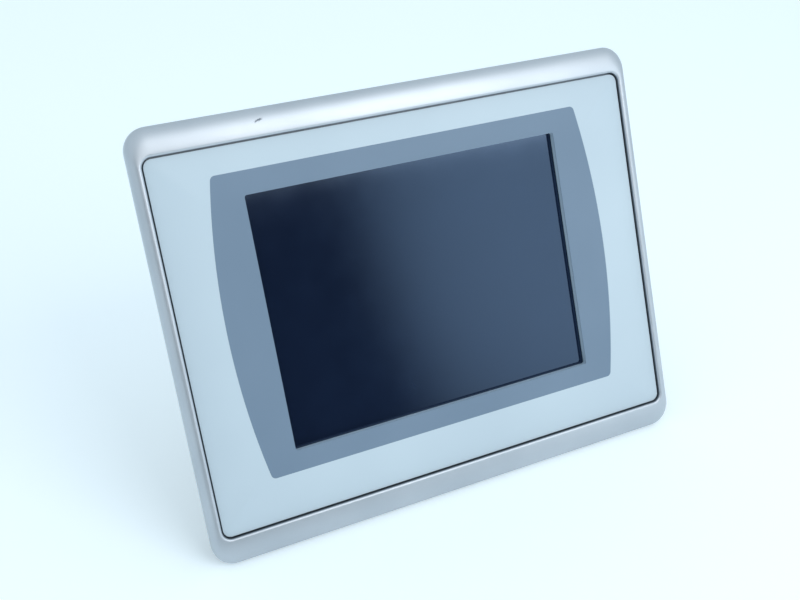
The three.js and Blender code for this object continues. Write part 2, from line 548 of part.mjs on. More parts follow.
// Main board with its chips, its memory socket and its mounting holes.
function logicBoard() {
  const { halfWidth, low, high, front } = BOARD;
  const foot = BOARD_BACK - ROOT;
  const sheet = box(-halfWidth, front, low, halfWidth, BOARD_BACK, high);
  const chips = CHIPS.map(([x, z, w, h]) =>
    box(x - w / 2, foot, z - h / 2, x + w / 2, BOARD_BACK + CHIP_RISE, z + h / 2));
  const { x0, x1, z0, z1, rise, arms, armLow } = MEMORY_SOCKET;
  const socket = [
    box(x0, foot, z0, x1, BOARD_BACK + rise, z1),
    ...arms.map((x) => box(x - 1, foot, armLow, x + 1, BOARD_BACK + rise, z0 + ROOT)),
  ];
  const holes = STANDOFFS.map(([x, z]) =>
    rodY(x, z, BOARD_HOLE, front - PAST, BOARD_BACK + PAST, 12));
  return cutAll(joinAll([sheet, ...chips, ...socket]), holes);
}

const standoff = ([x, z]) =>
  rodY(x, z, STANDOFF.radius, HOUSING.back + GAP, BOARD.front - GAP, STANDOFF.sides);

function heatSink() {
  const { x0, x1, z0, z1, base, rise, fins, fin } = HEAT_SINK;
  const front = BOARD_BACK + GAP;
  const shapes = [box(x0, front, z0, x1, front + base, z1)];
  for (let i = 0; i < fins; i++) {
    const x = x0 + (i * (x1 - x0 - fin)) / (fins - 1);
    shapes.push(box(x, front + base - ROOT, z0, x + fin, front + rise, z1));
  }
  return joinAll(shapes);
}

function memoryModule() {
  const { x0, x1, z0, z1, front, sheet } = MEMORY;
  const { xs, halfWidth, low, high, rise } = MEMORY_CHIPS;
  const chips = xs.map((x) =>
    box(x - halfWidth, front + sheet - ROOT, low, x + halfWidth, front + rise, high));
  return joinAll([box(x0, front, z0, x1, front + sheet, z1), ...chips]);
}

// Moulded cup for the coin cell, with a notch to lift the cell out by.
function batteryHolder() {
  const { x, z, radius } = BATTERY;
  const { half, rise, floor, play, notchHalf, notchZ } = HOLDER;
  const front = BOARD_BACK + GAP;
  const back = front + rise;
  const cup = box(x - half, front, z - half, x + half, back, z + half);
  const pocket = rodY(x, z, radius + play, front + floor, back + PAST, 24);
  const notch = box(
    x - notchHalf, front + floor, z + notchZ, x + notchHalf, back + PAST, z + half + PAST);
  return cutAll(cup, [pocket, notch]);
}

function backupBattery() {
  const { x, z, radius, thickness, front } = BATTERY;
  return rodY(x, z, radius, front, front + thickness, 24);
}

// Moulded frame that guides the memory card, open towards the slot in the cover's side.
function cardSocket() {
  const half = CARD.width / 2 + CARD_PLAY;
  const { x0, x1, wall, back } = CARD_FRAME;
  const frame = box(x0, BOARD_BACK + GAP, CARD.z - half - wall, x1, back, CARD.z + half + wall);
  const bay = box(CARD.x0 - GAP, CARD.y - CARD.thickness / 2 - CARD_PLAY, CARD.z - half,
    x1 + PAST, back + PAST, CARD.z + half);
  return cutAll(frame, [bay]);
}

function memoryCard() {
  const { x0, depth, width, thickness, y, z } = CARD;
  const half = thickness / 2;
  const x1 = x0 + depth;
  const body = box(x0, y - half, z - width / 2, x1, y + half, z + width / 2);
  const grip = box(x1 - CARD_GRIP.thickness, y + half - ROOT, z - CARD_GRIP.halfWidth,
    x1, y + half + CARD_GRIP.rise, z + CARD_GRIP.halfWidth);
  return joinAll([body, grip]);
}

// Shielded socket with the keyway for the plug's latch.
function networkJack() {
  const mouth = COVER.low + NETWORK.mouth;
  const { half, top, latchHalf, latch, latchTop } = NETWORK_CAVITY;
  const cavity = block(NETWORK, half, mouth - PAST, top);
  const keyway = box(NETWORK.x - latchHalf, NETWORK.y + latch[0], mouth - PAST,
    NETWORK.x + latchHalf, NETWORK.y + latch[1], latchTop);
  return cutAll(block(NETWORK, NETWORK.half, mouth, NETWORK.top), [cavity, keyway]);
}

function usbPort(x) {
  const centre = { x, y: USB.y };
  const mouth = COVER.low - PROUD;
  const shell = block(centre, USB.half, mouth, USB.top);
  const cavity = block(centre, USB.half.map((v) => v - USB.wall), mouth - PAST, USB.floor);
  const { half, front, back, setback } = USB_TONGUE;
  const tongue = box(
    x - half, USB.y + front, mouth + setback, x + half, USB.y + back, USB.floor + ROOT);
  return joinAll([cutAll(shell, [cavity]), tongue]);
}

// Nine-pin plug: flange and posts outside the wall, body through it, pins in a D-shaped shell.
function serialConnector() {
  const { x, y } = SERIAL;
  const flangeTop = COVER.low - GAP;
  const mouth = flangeTop - SERIAL.shell;
  const foot = flangeTop - SERIAL_FLANGE.thickness + ROOT;
  const flange = block(SERIAL, SERIAL_FLANGE.half, flangeTop - SERIAL_FLANGE.thickness, flangeTop);
  const body = block(SERIAL, SERIAL.half, flangeTop - ROOT, SERIAL.top);
  const shellAt = (grow, z0, z1) => {
    const wide = SERIAL_D.wide + grow;
    const narrow = SERIAL_D.narrow + grow;
    const half = SERIAL_D.half + grow;
    const corners = [[-wide, half], [wide, half], [narrow, -half], [-narrow, -half]];
    const dShape = new THREE.Shape(corners.map(([u, v]) => new THREE.Vector2(u, v)));
    const shape = new THREE.ExtrudeGeometry(dShape, { depth: z1 - z0, bevelEnabled: false });
    return solid(shape.translate(x, y, z0));
  };
  const bore = shellAt(-SERIAL_D.wall, mouth - PAST, flangeTop - SERIAL_FLANGE.thickness);
  const shell = shellAt(0, mouth, foot).subtract(bore);
  const posts = [-SERIAL_POST.dx, SERIAL_POST.dx].map((dx) =>
    rodZ(x + dx, y, SERIAL_POST.radius, mouth + ROOT, foot, 6));
  const pins = SERIAL_PINS.rows.flatMap(([count, dy]) =>
    Array.from({ length: count }, (_, i) => {
      const dx = (i - (count - 1) / 2) * SERIAL_PINS.pitch;
      return rodZ(x + dx, y + dy, SERIAL_PINS.radius, mouth + PAST, foot, 6);
    }));
  return joinAll([flange, body, shell, ...posts, ...pins]);
}

function powerHeader() {
  const { x, y, half, wall, top, floor } = POWER;
  const mouth = COVER.low - PROUD;
  const cavity = block(POWER, half.map((v) => v - wall), mouth - PAST, floor);
  const pins = POLES.map((dx) =>
    block({ x: x + dx, y }, POWER_PIN.half, POWER_PIN.low, floor + ROOT));
  return joinAll([cutAll(block(POWER, half, mouth, top), [cavity]), ...pins]);
}

// Removable screw-terminal plug: its nose sits in the header, its body hangs below the wall.
function powerPlug() {
  const { x, y } = POWER;
  const top = COVER.low - PROUD - GAP;
  const nose = block(POWER, PLUG.nose, top - ROOT, PLUG.noseTop);
  const body = block(POWER, PLUG.half, top - PLUG.drop, top);
  const contacts = POLES.map((dx) =>
    block({ x: x + dx, y }, PLUG_CONTACT.half, PLUG_CONTACT.low, PLUG.noseTop + PAST));
  const bottom = top - PLUG.drop;
  const wireHoles = POLES.map((dx) =>
    rodZ(x + dx, y + PLUG_WIRE.dy, PLUG_WIRE.radius, bottom - PAST, top - PLUG_WIRE.depth, 10));
  const clampScrews = POLES.map((dx) => rodY(
    x + dx, top - PLUG_CLAMP.below, PLUG_CLAMP.radius, y + PLUG_CLAMP.dy, y + PLUG.half[1] + PAST, 10));
  return cutAll(joinAll([body, nose]), [...contacts, ...wireHoles, ...clampScrews]);
}

function resetButton() {
  const { x, y, shaft, proud, top, collar, play } = RESET;
  const head = COVER.low + top;
  return joinAll([
    rodZ(x, y, shaft, COVER.low - proud, head - ROOT),
    rodZ(x, y, collar, COVER.low + COVER.wall + play, head),
  ]);
}

const resetSwitch = () => box(RESET.x - SWITCH.half, BOARD_BACK + GAP, SWITCH.low,
  RESET.x + SWITCH.half, RESET.y + SWITCH.back, SWITCH.high);

add("bezel", bezel(), silverPaint);
add("panel_gasket", panelGasket(), blackRubber);
add("front_label", frontLabel(), labelFilm);
add("window_lip", windowLip(), lipPlastic);
add("touch_screen", touchScreen(), darkGlass);
add("screen_seal", screenSeal(), blackRubber);
add("lcd_front_frame", lcdFrontFrame(), zincSteel);
add("lcd_panel", lcdPanel(), darkGlass);
add("light_guide", lightGuide(), clearAcrylic);
add("lamp_upper", lamp(1), lampGlass);
add("lamp_lower", lamp(-1), lampGlass);
add("lcd_rear_tray", lcdRearTray(), zincSteel);
add("display_chassis", displayChassis(), zincSteel);
POSTS.forEach(([x, z], i) => add(
  `chassis_screw_${i + 1}`, screw(x, CHASSIS_BACK + GAP, z, SCREW_LENGTH.chassis), screwSteel));
add("inverter_board", inverterBoard(), greenBoard);
add("touch_controller_board", circuitBoard(TOUCH_CONTROLLER), greenBoard);
add("interface_board", circuitBoard(INTERFACE), greenBoard);
add("display_connector", displayConnector(), blackPlastic);
add("display_ribbon", displayRibbon(), amberFilm);
add("rear_housing", rearHousing(), charcoalPlastic);
const housingScrewLength = PILLAR_HEAD - PILLAR.tapFloor - TIP_CLEAR;
PILLARS.forEach(([x, z], i) => add(
  `housing_screw_${i + 1}`, screw(x, PILLAR_HEAD, z, housingScrewLength), screwSteel));
add("earth_screw", screw(EARTH.x, HOUSING.back + GAP, EARTH.z, SCREW_LENGTH.earth, EARTH), nickel);
add("logic_board", logicBoard(), greenBoard);
STANDOFFS.forEach((at, i) => add(`board_standoff_${i + 1}`, standoff(at), nickel));
add("heat_sink", heatSink(), aluminium);
add("memory_module", memoryModule(), greenBoard);
add("battery_holder", batteryHolder(), blackPlastic);
add("backup_battery", backupBattery(), nickel);
add("card_socket", cardSocket(), blackPlastic);
add("memory_card", memoryCard(), charcoalPlastic);
add("network_jack", networkJack(), nickel);
USB.xs.forEach((x, i) => add(`usb_port_${i + 1}`, usbPort(x), nickel));
add("serial_connector", serialConnector(), nickel);
add("power_header", powerHeader(), greenPlug);
add("power_plug", powerPlug(), greenPlug);
add("reset_button", resetButton(), blackPlastic);
add("reset_switch", resetSwitch(), blackPlastic);
add("logic_cover", logicCover(), zincSteel);
add("battery_door", batteryDoor(), charcoalPlastic);
add("battery_door_pin", batteryDoorPin(), screwSteel);
COVER_SCREWS.forEach(([x, z], i) => add(
  `cover_screw_${i + 1}`, screw(x, COVER.front + COVER.wall + GAP, z, SCREW_LENGTH.cover), screwSteel));

export default terminal;
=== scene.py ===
import bpy
import math
from mathutils import Matrix, Vector


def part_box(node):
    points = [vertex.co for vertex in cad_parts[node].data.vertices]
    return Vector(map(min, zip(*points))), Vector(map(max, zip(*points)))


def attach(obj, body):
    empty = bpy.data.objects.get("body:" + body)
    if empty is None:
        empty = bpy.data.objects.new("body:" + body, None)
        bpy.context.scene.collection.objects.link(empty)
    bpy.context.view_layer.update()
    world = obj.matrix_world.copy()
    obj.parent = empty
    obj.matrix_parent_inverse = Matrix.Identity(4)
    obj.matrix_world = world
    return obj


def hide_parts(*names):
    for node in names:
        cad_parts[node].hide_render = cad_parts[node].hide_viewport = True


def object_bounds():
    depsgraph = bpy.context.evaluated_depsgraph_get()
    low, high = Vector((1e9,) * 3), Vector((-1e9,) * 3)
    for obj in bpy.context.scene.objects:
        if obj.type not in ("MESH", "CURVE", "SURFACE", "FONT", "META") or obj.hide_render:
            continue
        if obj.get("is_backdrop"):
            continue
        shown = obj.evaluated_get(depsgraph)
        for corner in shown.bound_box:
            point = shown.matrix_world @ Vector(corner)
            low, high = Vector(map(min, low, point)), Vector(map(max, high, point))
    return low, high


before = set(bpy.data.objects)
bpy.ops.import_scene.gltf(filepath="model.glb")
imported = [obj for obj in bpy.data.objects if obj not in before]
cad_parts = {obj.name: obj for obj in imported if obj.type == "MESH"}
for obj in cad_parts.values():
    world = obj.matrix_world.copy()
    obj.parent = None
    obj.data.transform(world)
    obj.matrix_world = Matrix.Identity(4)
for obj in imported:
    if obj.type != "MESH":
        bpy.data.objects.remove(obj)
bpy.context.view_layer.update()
MM = 0.001

# ---- Camera ----------------------------
# The terminal leans back on a table, on the lower edge of its bezel and the lower rear edge of its
# housing. The camera is level with that table and looks down at the screen from the upper left.
bezel_low, bezel_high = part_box("bezel")
housing_low, housing_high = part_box("rear_housing")
LEAN = math.atan2(housing_low.z - bezel_low.z, housing_high.y)
TABLE_UP = Vector((0, -math.sin(LEAN), math.cos(LEAN)))

camera = bpy.data.objects.new("camera", bpy.data.cameras.new("camera"))
bpy.context.scene.collection.objects.link(camera)
bpy.context.scene.camera = camera
camera.data.lens = 47.2
camera.data.sensor_width = 36
camera.location = Vector((-257.5, -609.6, 123.9)) * MM
sight = (Vector((-21.0, -8.0, 0.9)) * MM - camera.location).normalized()
across = sight.cross(TABLE_UP).normalized()
upward = across.cross(sight)
camera.matrix_world = Matrix.Translation(camera.location) @ Matrix(
    (across, upward, -sight)).transposed().to_4x4()

# ---- Bezel -----------------------------
# A die-cast frame with a broad bullnose band, wider above and below than at the sides. A rounded lip
# stands round the sunk pocket that takes the label. It is sprayed with satin silver paint.


def start_piece(name):
    """A new empty mesh object, in edit mode, with nothing else selected."""
    piece = bpy.data.objects.new(name, bpy.data.meshes.new(name))
    bpy.context.scene.collection.objects.link(piece)
    reopen(piece)
    return piece


def end_piece():
    bpy.ops.object.mode_set(mode="OBJECT")


def pick(piece):
    """Selects this piece alone, as the active object."""
    bpy.ops.object.select_all(action="DESELECT")
    piece.select_set(True)
    bpy.context.view_layer.objects.active = piece


def reopen(piece):
    """Goes into edit mode with this piece alone."""
    pick(piece)
    bpy.ops.object.mode_set(mode="EDIT")


def face_outwards(piece):
    """Turns every face of a piece outwards."""
    reopen(piece)
    bpy.ops.mesh.select_all(action="SELECT")
    bpy.ops.mesh.normals_make_consistent(inside=False)
    end_piece()


def add_outline(width, height, corner, y, x=0.0, z=0.0, steps=10):
    """Adds one upright rounded rectangle, in millimetres, as a loop of edges in its own group."""
    centre = Vector((x, y, z)) * MM
    bpy.ops.mesh.primitive_plane_add(size=MM, location=centre, rotation=(math.pi / 2, 0, 0))
    bpy.ops.transform.resize(value=(width, 1, height), center_override=centre)
    bpy.ops.mesh.bevel(offset=corner * MM, segments=steps, affect="VERTICES", clamp_overlap=False)
    bpy.ops.object.vertex_group_assign_new()
    bpy.ops.mesh.delete(type="ONLY_FACE")


def select_outlines(piece, *numbers):
    bpy.ops.mesh.select_all(action="DESELECT")
    for number in numbers:
        piece.vertex_groups.active_index = number
        bpy.ops.object.vertex_group_select()


SPREAD = 50      # the outlines are bridged this far apart along Y, and then moved to their places


def lofted(name, outlines, closed=False, steps=10, bows=()):
    """A piece skinned through rounded rectangles: (width, height, corner, y, x, z) each.

    A closed piece is a ring, whose last outline joins the first. Any other has its two ends filled.
    The sides of the outlines numbered in bows are bent outwards.
    """
    piece = start_piece(name)
    for number, (width, height, corner, _, *across) in enumerate(outlines):
        add_outline(width, height, corner, number * SPREAD, *across, steps=steps)
    for number in bows:
        bow_sides(piece, number)
    count = len(outlines)
    for here in range(count if closed else count - 1):
        select_outlines(piece, here, (here + 1) % count)
        bpy.ops.mesh.bridge_edge_loops()
    for end in () if closed else (0, count - 1):
        select_outlines(piece, end)
        bpy.ops.mesh.edge_face_add()
    for number, outline in enumerate(outlines):
        select_outlines(piece, number)
        bpy.ops.transform.translate(value=(0, (outline[3] - number * SPREAD) * MM, 0))
    end_piece()
    face_outwards(piece)
    piece.vertex_groups.clear()
    return piece


UPRIGHT = {"x": (0, math.pi / 2, 0), "y": (math.pi / 2, 0, 0), "z": (0, 0, 0)}
ALONG = {"x": Vector((1, 0, 0)), "y": Vector((0, 1, 0)), "z": Vector((0, 0, 1))}


def add_turned(foot, axis, profile, sides=32):
    """Adds a turned solid from its foot along an axis: (radius, place along the axis) pairs."""
    radius, place = profile[0]
    at = Vector(foot) * MM + ALONG[axis] * place * MM
    bpy.ops.mesh.primitive_circle_add(vertices=sides, radius=radius * MM, fill_type="NGON",
                                      location=at, rotation=UPRIGHT[axis])
    for wide, further in profile[1:]:
        step = ALONG[axis] * (further - place) * MM
        bpy.ops.mesh.extrude_region_move(TRANSFORM_OT_translate={"value": step})
        at += step
        bpy.ops.transform.resize(value=[wide / radius] * 3, center_override=at)
        radius, place = wide, further


def add_rod(foot, axis, radius, length, sides=32):
    add_turned(foot, axis, [(radius, 0), (radius, length)], sides)


def built(name, *solids):
    """A piece made of solids: for each, the function that adds it and then what it takes."""
    piece = start_piece(name)
    for add, *settings in solids:
        add(*settings)
    end_piece()
    return piece


def carve(piece, tool, operation="DIFFERENCE"):
    """Cuts the tool out of the piece, or joins the two, and removes the tool."""
    face_outwards(tool)
    face_outwards(piece)
    cut = piece.modifiers.new("cut", "BOOLEAN")
    cut.operation = operation
    cut.solver = "EXACT"
    cut.object = tool
    bpy.ops.object.modifier_apply(modifier=cut.name)
    bpy.data.objects.remove(tool)


def shade(piece, angle=30):
    """Smooth shading up to this angle between faces, in degrees."""
    pick(piece)
    bpy.ops.object.shade_smooth_by_angle(angle=math.radians(angle))


def linear(code):
    """An sRGB hex colour as linear red, green and blue, with full alpha."""
    channels = [int(code[i:i + 2], 16) / 255 for i in (1, 3, 5)]
    return [c / 12.92 if c <= 0.04045 else ((c + 0.055) / 1.055) ** 2.4 for c in channels] + [1.0]


def set_inputs(node, values):
    for name, value in dict(values).items():
        node.inputs[name].default_value = value


def add_node(material, kind, options=(), values=(), links=()):
    """Adds a node with its options and input values, and links its inputs to these outputs."""
    node = material.node_tree.nodes.new(kind)
    for name, option in dict(options).items():
        setattr(node, name, option)
    set_inputs(node, values)
    for name, source in dict(links).items():
        material.node_tree.links.new(source, node.inputs[name])
    return node


def surface(name, colours, grain, roughness, relief, drift=60, stretch=(1, 1, 1), uniform=()):
    """A material of two close colours, mixed by a fine grain and a broad drift.

    The grain's size and the relief's height are in millimetres, and the drift is so many grains wide.
    The roughness runs between two values with the grain. Uniform holds the shader's own settings.
    """
    material = bpy.data.materials.new(name)
    material.use_nodes = True
    shader = material.node_tree.nodes["Principled BSDF"]
    set_inputs(shader, uniform)
    place = add_node(material, "ShaderNodeTexCoord")
    turned = add_node(material, "ShaderNodeMapping", values={"Scale": stretch},
                      links={"Vector": place.outputs["Object"]})
    fine = add_node(material, "ShaderNodeTexNoise",
                    values={"Scale": 1 / (grain * MM), "Detail": 3.0, "Roughness": 0.6},
                    links={"Vector": turned.outputs["Vector"]})
    broad = add_node(material, "ShaderNodeTexNoise",
                     values={"Scale": 1 / (grain * drift * MM), "Detail": 2.0},
                     links={"Vector": turned.outputs["Vector"]})
    both = add_node(material, "ShaderNodeMath", {"operation": "MULTIPLY_ADD"}, {1: 0.45},
                    {0: fine.outputs["Fac"], 2: broad.outputs["Fac"]})
    tone = add_node(material, "ShaderNodeValToRGB", links={"Fac": both.outputs["Value"]})
    for stop, place_on_ramp, code in zip(tone.color_ramp.elements, (0.45, 1.0), colours):
        stop.position = place_on_ramp
        stop.color = linear(code)
    gloss = add_node(material, "ShaderNodeMapRange",
                     values={"From Min": 0.3, "From Max": 0.7, "To Min": roughness[0],
                             "To Max": roughness[1]},
                     links={"Value": fine.outputs["Fac"]})
    bump = add_node(material, "ShaderNodeBump", values={"Strength": 1.0, "Distance": relief * MM},
                    links={"Height": fine.outputs["Fac"]})
    links = material.node_tree.links
    links.new(tone.outputs["Color"], shader.inputs["Base Color"])
    links.new(gloss.outputs["Result"], shader.inputs["Roughness"])
    links.new(bump.outputs["Normal"], shader.inputs["Normal"])
    return material


def lay_over(material, amount, code):
    """Lays a colour over the material's own, by as much as this output says."""
    base = material.node_tree.nodes["Principled BSDF"].inputs["Base Color"]
    mixed = add_node(material, "ShaderNodeMix", {"data_type": "RGBA"}, {7: linear(code)},
                     {0: amount, 6: base.links[0].from_socket})
    material.node_tree.links.new(mixed.outputs[2], base)


def place_piece(piece, material, slot, body, *nodes):
    """Gives a finished piece its material and its body, and hides the modelled parts that it stands for.
    """
    piece.data.materials.clear()
    piece.data.materials.append(material)
    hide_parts(*nodes)
    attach(piece, body)


WIDTH = (bezel_high.x - bezel_low.x) / MM
HEIGHT = (bezel_high.z - bezel_low.z) / MM
CROWN = bezel_low.y / MM
SHOULDER = -4.4
CORNER = 14
POCKET = (320.7, 230.9, 6.1)         # width, height and corner of the pocket
POCKET_FLOOR = -7.2
GROOVE_FLOOR = -5.0                  # a groove runs round the pocket, under the label's edge
LIP = 1.8
LIP_ROUND = 1.3
BAND_STEPS = 22


def grown(outline, by):
    return outline[0] + 2 * by, outline[1] + 2 * by, outline[2] + by


def turns(*degrees):
    return [math.radians(turn) for turn in degrees]


bezel_outline = (WIDTH, HEIGHT, CORNER)
lip_top = grown(POCKET, LIP)
band = []
for step in range(BAND_STEPS + 1):
    turn = step / BAND_STEPS * math.pi / 2
    share = 1 - math.cos(turn)
    size = [out + (inn - out) * share for out, inn in zip(bezel_outline, lip_top)]
    band.append((*size, SHOULDER + (CROWN - SHOULDER) * math.sin(turn)))
lip_roll = [(*grown(POCKET, LIP * (1 - math.sin(turn))), CROWN + LIP_ROUND * (1 - math.cos(turn)))
            for turn in turns(12, 24, 36, 48, 60, 72, 82, 90)]
WEB_OPENING = (214.6, 161.8, 3.0)
WEB_BACK = -5.2
CAVITY = (300, 215, 6)
GASKET = (320, 251, 9)
GASKET_BAND = 4
CHANNEL_FLOOR = -1.9
PLAY = 0.3
SCREEN_Z = 5.0
channel_out = grown(GASKET, PLAY)
channel_in = grown(GASKET, -GASKET_BAND - PLAY)
bezel = lofted("bezel_casting", [
    (*grown(bezel_outline, -1), 0), (*grown(bezel_outline, -0.3), -0.3), (*bezel_outline, -1),
    *band, *lip_roll,
    (*POCKET, GROOVE_FLOOR), (*grown(POCKET, -1.3), GROOVE_FLOOR), (*grown(POCKET, -1.3), POCKET_FLOOR),
    (*WEB_OPENING, POCKET_FLOOR, 0, SCREEN_Z), (*WEB_OPENING, WEB_BACK, 0, SCREEN_Z),
    (*CAVITY, WEB_BACK), (*CAVITY, 0),
    (*channel_in, 0), (*channel_in, CHANNEL_FLOOR), (*channel_out, CHANNEL_FLOOR), (*channel_out, 0),
], closed=True, steps=12)
PILLARS = [(x, z) for x in (-130, 0, 130) for z in (-114, 114)]
POSTS = [(x, z) for x in (-136, 136) for z in (-95, 95)]
PILLAR_RADIUS = 4
POST_FOOT = -5.7
SCREW_HOLE = 1.85                    # radius
carve(bezel, built("posts", *(
    (add_rod, (x, POST_FOOT, z), "y", PILLAR_RADIUS, bezel_high.y / MM - POST_FOOT)
    for x, z in POSTS)), "UNION")
carve(bezel, built("taps", *(
    (add_rod, (x, -2.5, z), "y", SCREW_HOLE, 12, 24) for x, z in POSTS), *(
    (add_rod, (x, -4.8, z), "y", SCREW_HOLE, 6, 24) for x, z in PILLARS)))
shade(bezel)

# Satin silver paint over the casting: fine metal flake and a slight orange peel. It is chipped to the
# primer at the top left, and lightly scratched low on the right. Painted shade darkens the groove.
silver_paint = surface("satin_silver_paint", ("#b3b9c0", "#c1c6cc"), grain=0.6,
                       roughness=(0.36, 0.48), relief=0.008, drift=90,
                       uniform={"Metallic": 0.75, "Coat Weight": 0.1, "Coat Roughness": 0.3})
CHIP = (-89, -10, 125.2)
CHIP_REACH = (3.6, 6, 0.9)
paint_place = add_node(silver_paint, "ShaderNodeTexCoord")
chip_place = add_node(silver_paint, "ShaderNodeMapping", {"vector_type": "TEXTURE"}, {
    "Location": Vector(CHIP) * MM, "Rotation": (0, math.radians(-18), 0),
    "Scale": Vector(CHIP_REACH) * MM}, {"Vector": paint_place.outputs["Object"]})
ragged = add_node(silver_paint, "ShaderNodeTexNoise", values={"Scale": 3.0, "Detail": 4.0},
                  links={"Vector": chip_place.outputs["Vector"]})
chip_reach = add_node(silver_paint, "ShaderNodeVectorMath", {"operation": "LENGTH"},
                      links={0: chip_place.outputs["Vector"]})
chip_edge = add_node(silver_paint, "ShaderNodeMath", {"operation": "MULTIPLY_ADD"}, {1: 2.4},
                     {0: ragged.outputs["Fac"], 2: chip_reach.outputs["Value"]})
chip = add_node(silver_paint, "ShaderNodeMapRange",
                values={"From Min": 2.05, "From Max": 1.75, "To Max": 0.85},
                links={"Value": chip_edge.outputs["Value"]})
scratch_place = add_node(silver_paint, "ShaderNodeMapping", values={
    "Rotation": (0, math.radians(38), 0), "Scale": (1600, 60, 60)},
    links={"Vector": paint_place.outputs["Object"]})
strokes = add_node(silver_paint, "ShaderNodeTexNoise", values={"Scale": 1.0, "Detail": 2.0},
                   links={"Vector": scratch_place.outputs["Vector"]})
thin = add_node(silver_paint, "ShaderNodeMapRange",
                values={"From Min": 0.66, "From Max": 0.72, "To Max": 0.7},
                links={"Value": strokes.outputs["Fac"]})
place_of = add_node(silver_paint, "ShaderNodeSeparateXYZ",
                    links={"Vector": paint_place.outputs["Object"]})
right_side = add_node(silver_paint, "ShaderNodeMapRange", values={"From Min": 0.158, "From Max": 0.163},
                      links={"Value": place_of.outputs["X"]})
low_down = add_node(silver_paint, "ShaderNodeMapRange", values={"From Min": 0.0, "From Max": -0.03},
                    links={"Value": place_of.outputs["Z"]})
corner_only = add_node(silver_paint, "ShaderNodeMath", {"operation": "MULTIPLY"},
                       links={0: right_side.outputs["Result"], 1: low_down.outputs["Result"]})
scratches = add_node(silver_paint, "ShaderNodeMath", {"operation": "MULTIPLY"},
                     links={0: thin.outputs["Result"], 1: corner_only.outputs["Value"]})
# Painted shade: the bezel's faces inside the pocket's outline, the groove and the pocket walls, are
# darkened to stand in for the shade in the recess.
corner_at = (POCKET[0] / 2 - POCKET[2], 1000, POCKET[1] / 2 - POCKET[2])
folded = add_node(silver_paint, "ShaderNodeVectorMath", {"operation": "ABSOLUTE"},
                  links={0: paint_place.outputs["Object"]})
past_corner = add_node(silver_paint, "ShaderNodeVectorMath", {"operation": "SUBTRACT"},
                       {1: Vector(corner_at) * MM}, {0: folded.outputs["Vector"]})
outward = add_node(silver_paint, "ShaderNodeVectorMath", {"operation": "MAXIMUM"}, {1: (0, 0, 0)},
                   {0: past_corner.outputs["Vector"]})
from_corner = add_node(silver_paint, "ShaderNodeVectorMath", {"operation": "LENGTH"},
                       links={0: outward.outputs["Vector"]})
groove_shade = add_node(silver_paint, "ShaderNodeMapRange",
                 values={"From Min": (POCKET[2] + 0.5) * MM, "From Max": (POCKET[2] + 0.05) * MM,
                         "To Max": 0.75},
                 links={"Value": from_corner.outputs["Value"]})
lay_over(silver_paint, scratches.outputs["Value"], "#e3e6e9")
lay_over(silver_paint, chip.outputs["Result"], "#4d565f")
# Lays the painted shade over the groove and the pocket walls.
lay_over(silver_paint, groove_shade.outputs["Result"], "#3f4b57")
place_piece(bezel, silver_paint, "silver_paint", "terminal", "bezel")

# ---- Gasket ----------------------------
# A closed-cell foam rubber ring, die-cut and pressed into the channel behind the bezel. It stands
# proud of the bezel, so that the clips squeeze it against the cabinet door.
gasket_low, gasket_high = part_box("panel_gasket")
gasket_front, gasket_back = gasket_low.y / MM, gasket_high.y / MM
gasket_inner = grown(GASKET, -GASKET_BAND)
GASKET_ROUND = 0.8
crown_steps = [(GASKET_ROUND * (1 - math.sin(turn)), GASKET_ROUND * (1 - math.cos(turn)))
               for turn in turns(0, 30, 60, 90)]
gasket = lofted("foam_gasket", [
    (*gasket_inner, gasket_front),
    *((*grown(gasket_inner, drop), gasket_back - rise) for rise, drop in crown_steps),
    *((*grown(GASKET, -drop), gasket_back - rise) for rise, drop in reversed(crown_steps)),
    (*GASKET, gasket_front),
], closed=True)
shade(gasket)

# Foam rubber, skinned on its faces: charcoal black and dull, with small open cells at the cut edge.
foam_rubber = surface("foam_rubber", ("#1b1d1f", "#2c2f32"), grain=0.9, roughness=(0.75, 0.95),
                      relief=0.09, drift=20)
place_piece(gasket, foam_rubber, "black_rubber", "terminal", "panel_gasket")

# ---- Label -----------------------------
# A printed polyester film stuck in the pocket: a pale field, and a slate border round the screen whose
# sides bow outwards. Field and border are cut to the same curve, so they meet flush.
label_low, label_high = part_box("front_label")
LABEL = ((label_high.x - label_low.x) / MM, (label_high.z - label_low.z) / MM, 5.2)
LABEL_FACE = label_low.y / MM
LABEL_BACK = label_high.y / MM
SCREEN = (211.2, 158.4, 1.5)
BORDER_HEIGHT = 186.2
BORDER = (246.6, BORDER_HEIGHT, 2.5)      # width at its corners, height and corner
BORDER_Z = 5.6
BOW_RADIUS = 481
BOW_CUTS = 48
NEAR = 0.001


def bow_sides(piece, number):
    """Bends the two upright sides of an outline outwards, to the arcs of the slate border."""
    select_outlines(piece, number)
    bpy.ops.mesh.select_mode(type="EDGE")
    end_piece()
    half = max(vertex.co.x for vertex in piece.data.vertices if vertex.select)
    for edge in piece.data.edges:
        ends = [piece.data.vertices[end] for end in edge.vertices]
        edge.select = edge.select and all(abs(end.co.x) > half - NEAR * MM for end in ends)
    bpy.ops.object.mode_set(mode="EDIT")
    bpy.ops.mesh.subdivide(number_cuts=BOW_CUTS)
    bpy.ops.mesh.select_mode(type="VERT")
    select_outlines(piece, number)
    end_piece()
    corner_reach = math.sqrt(BOW_RADIUS ** 2 - (BORDER_HEIGHT / 2) ** 2)
    for vertex in piece.data.vertices:
        if vertex.select:
            up = vertex.co.z / MM - BORDER_Z
            out = (math.sqrt(BOW_RADIUS ** 2 - up ** 2) - corner_reach) * MM
            vertex.co.x += math.copysign(out, vertex.co.x)
    bpy.ops.object.mode_set(mode="EDIT")


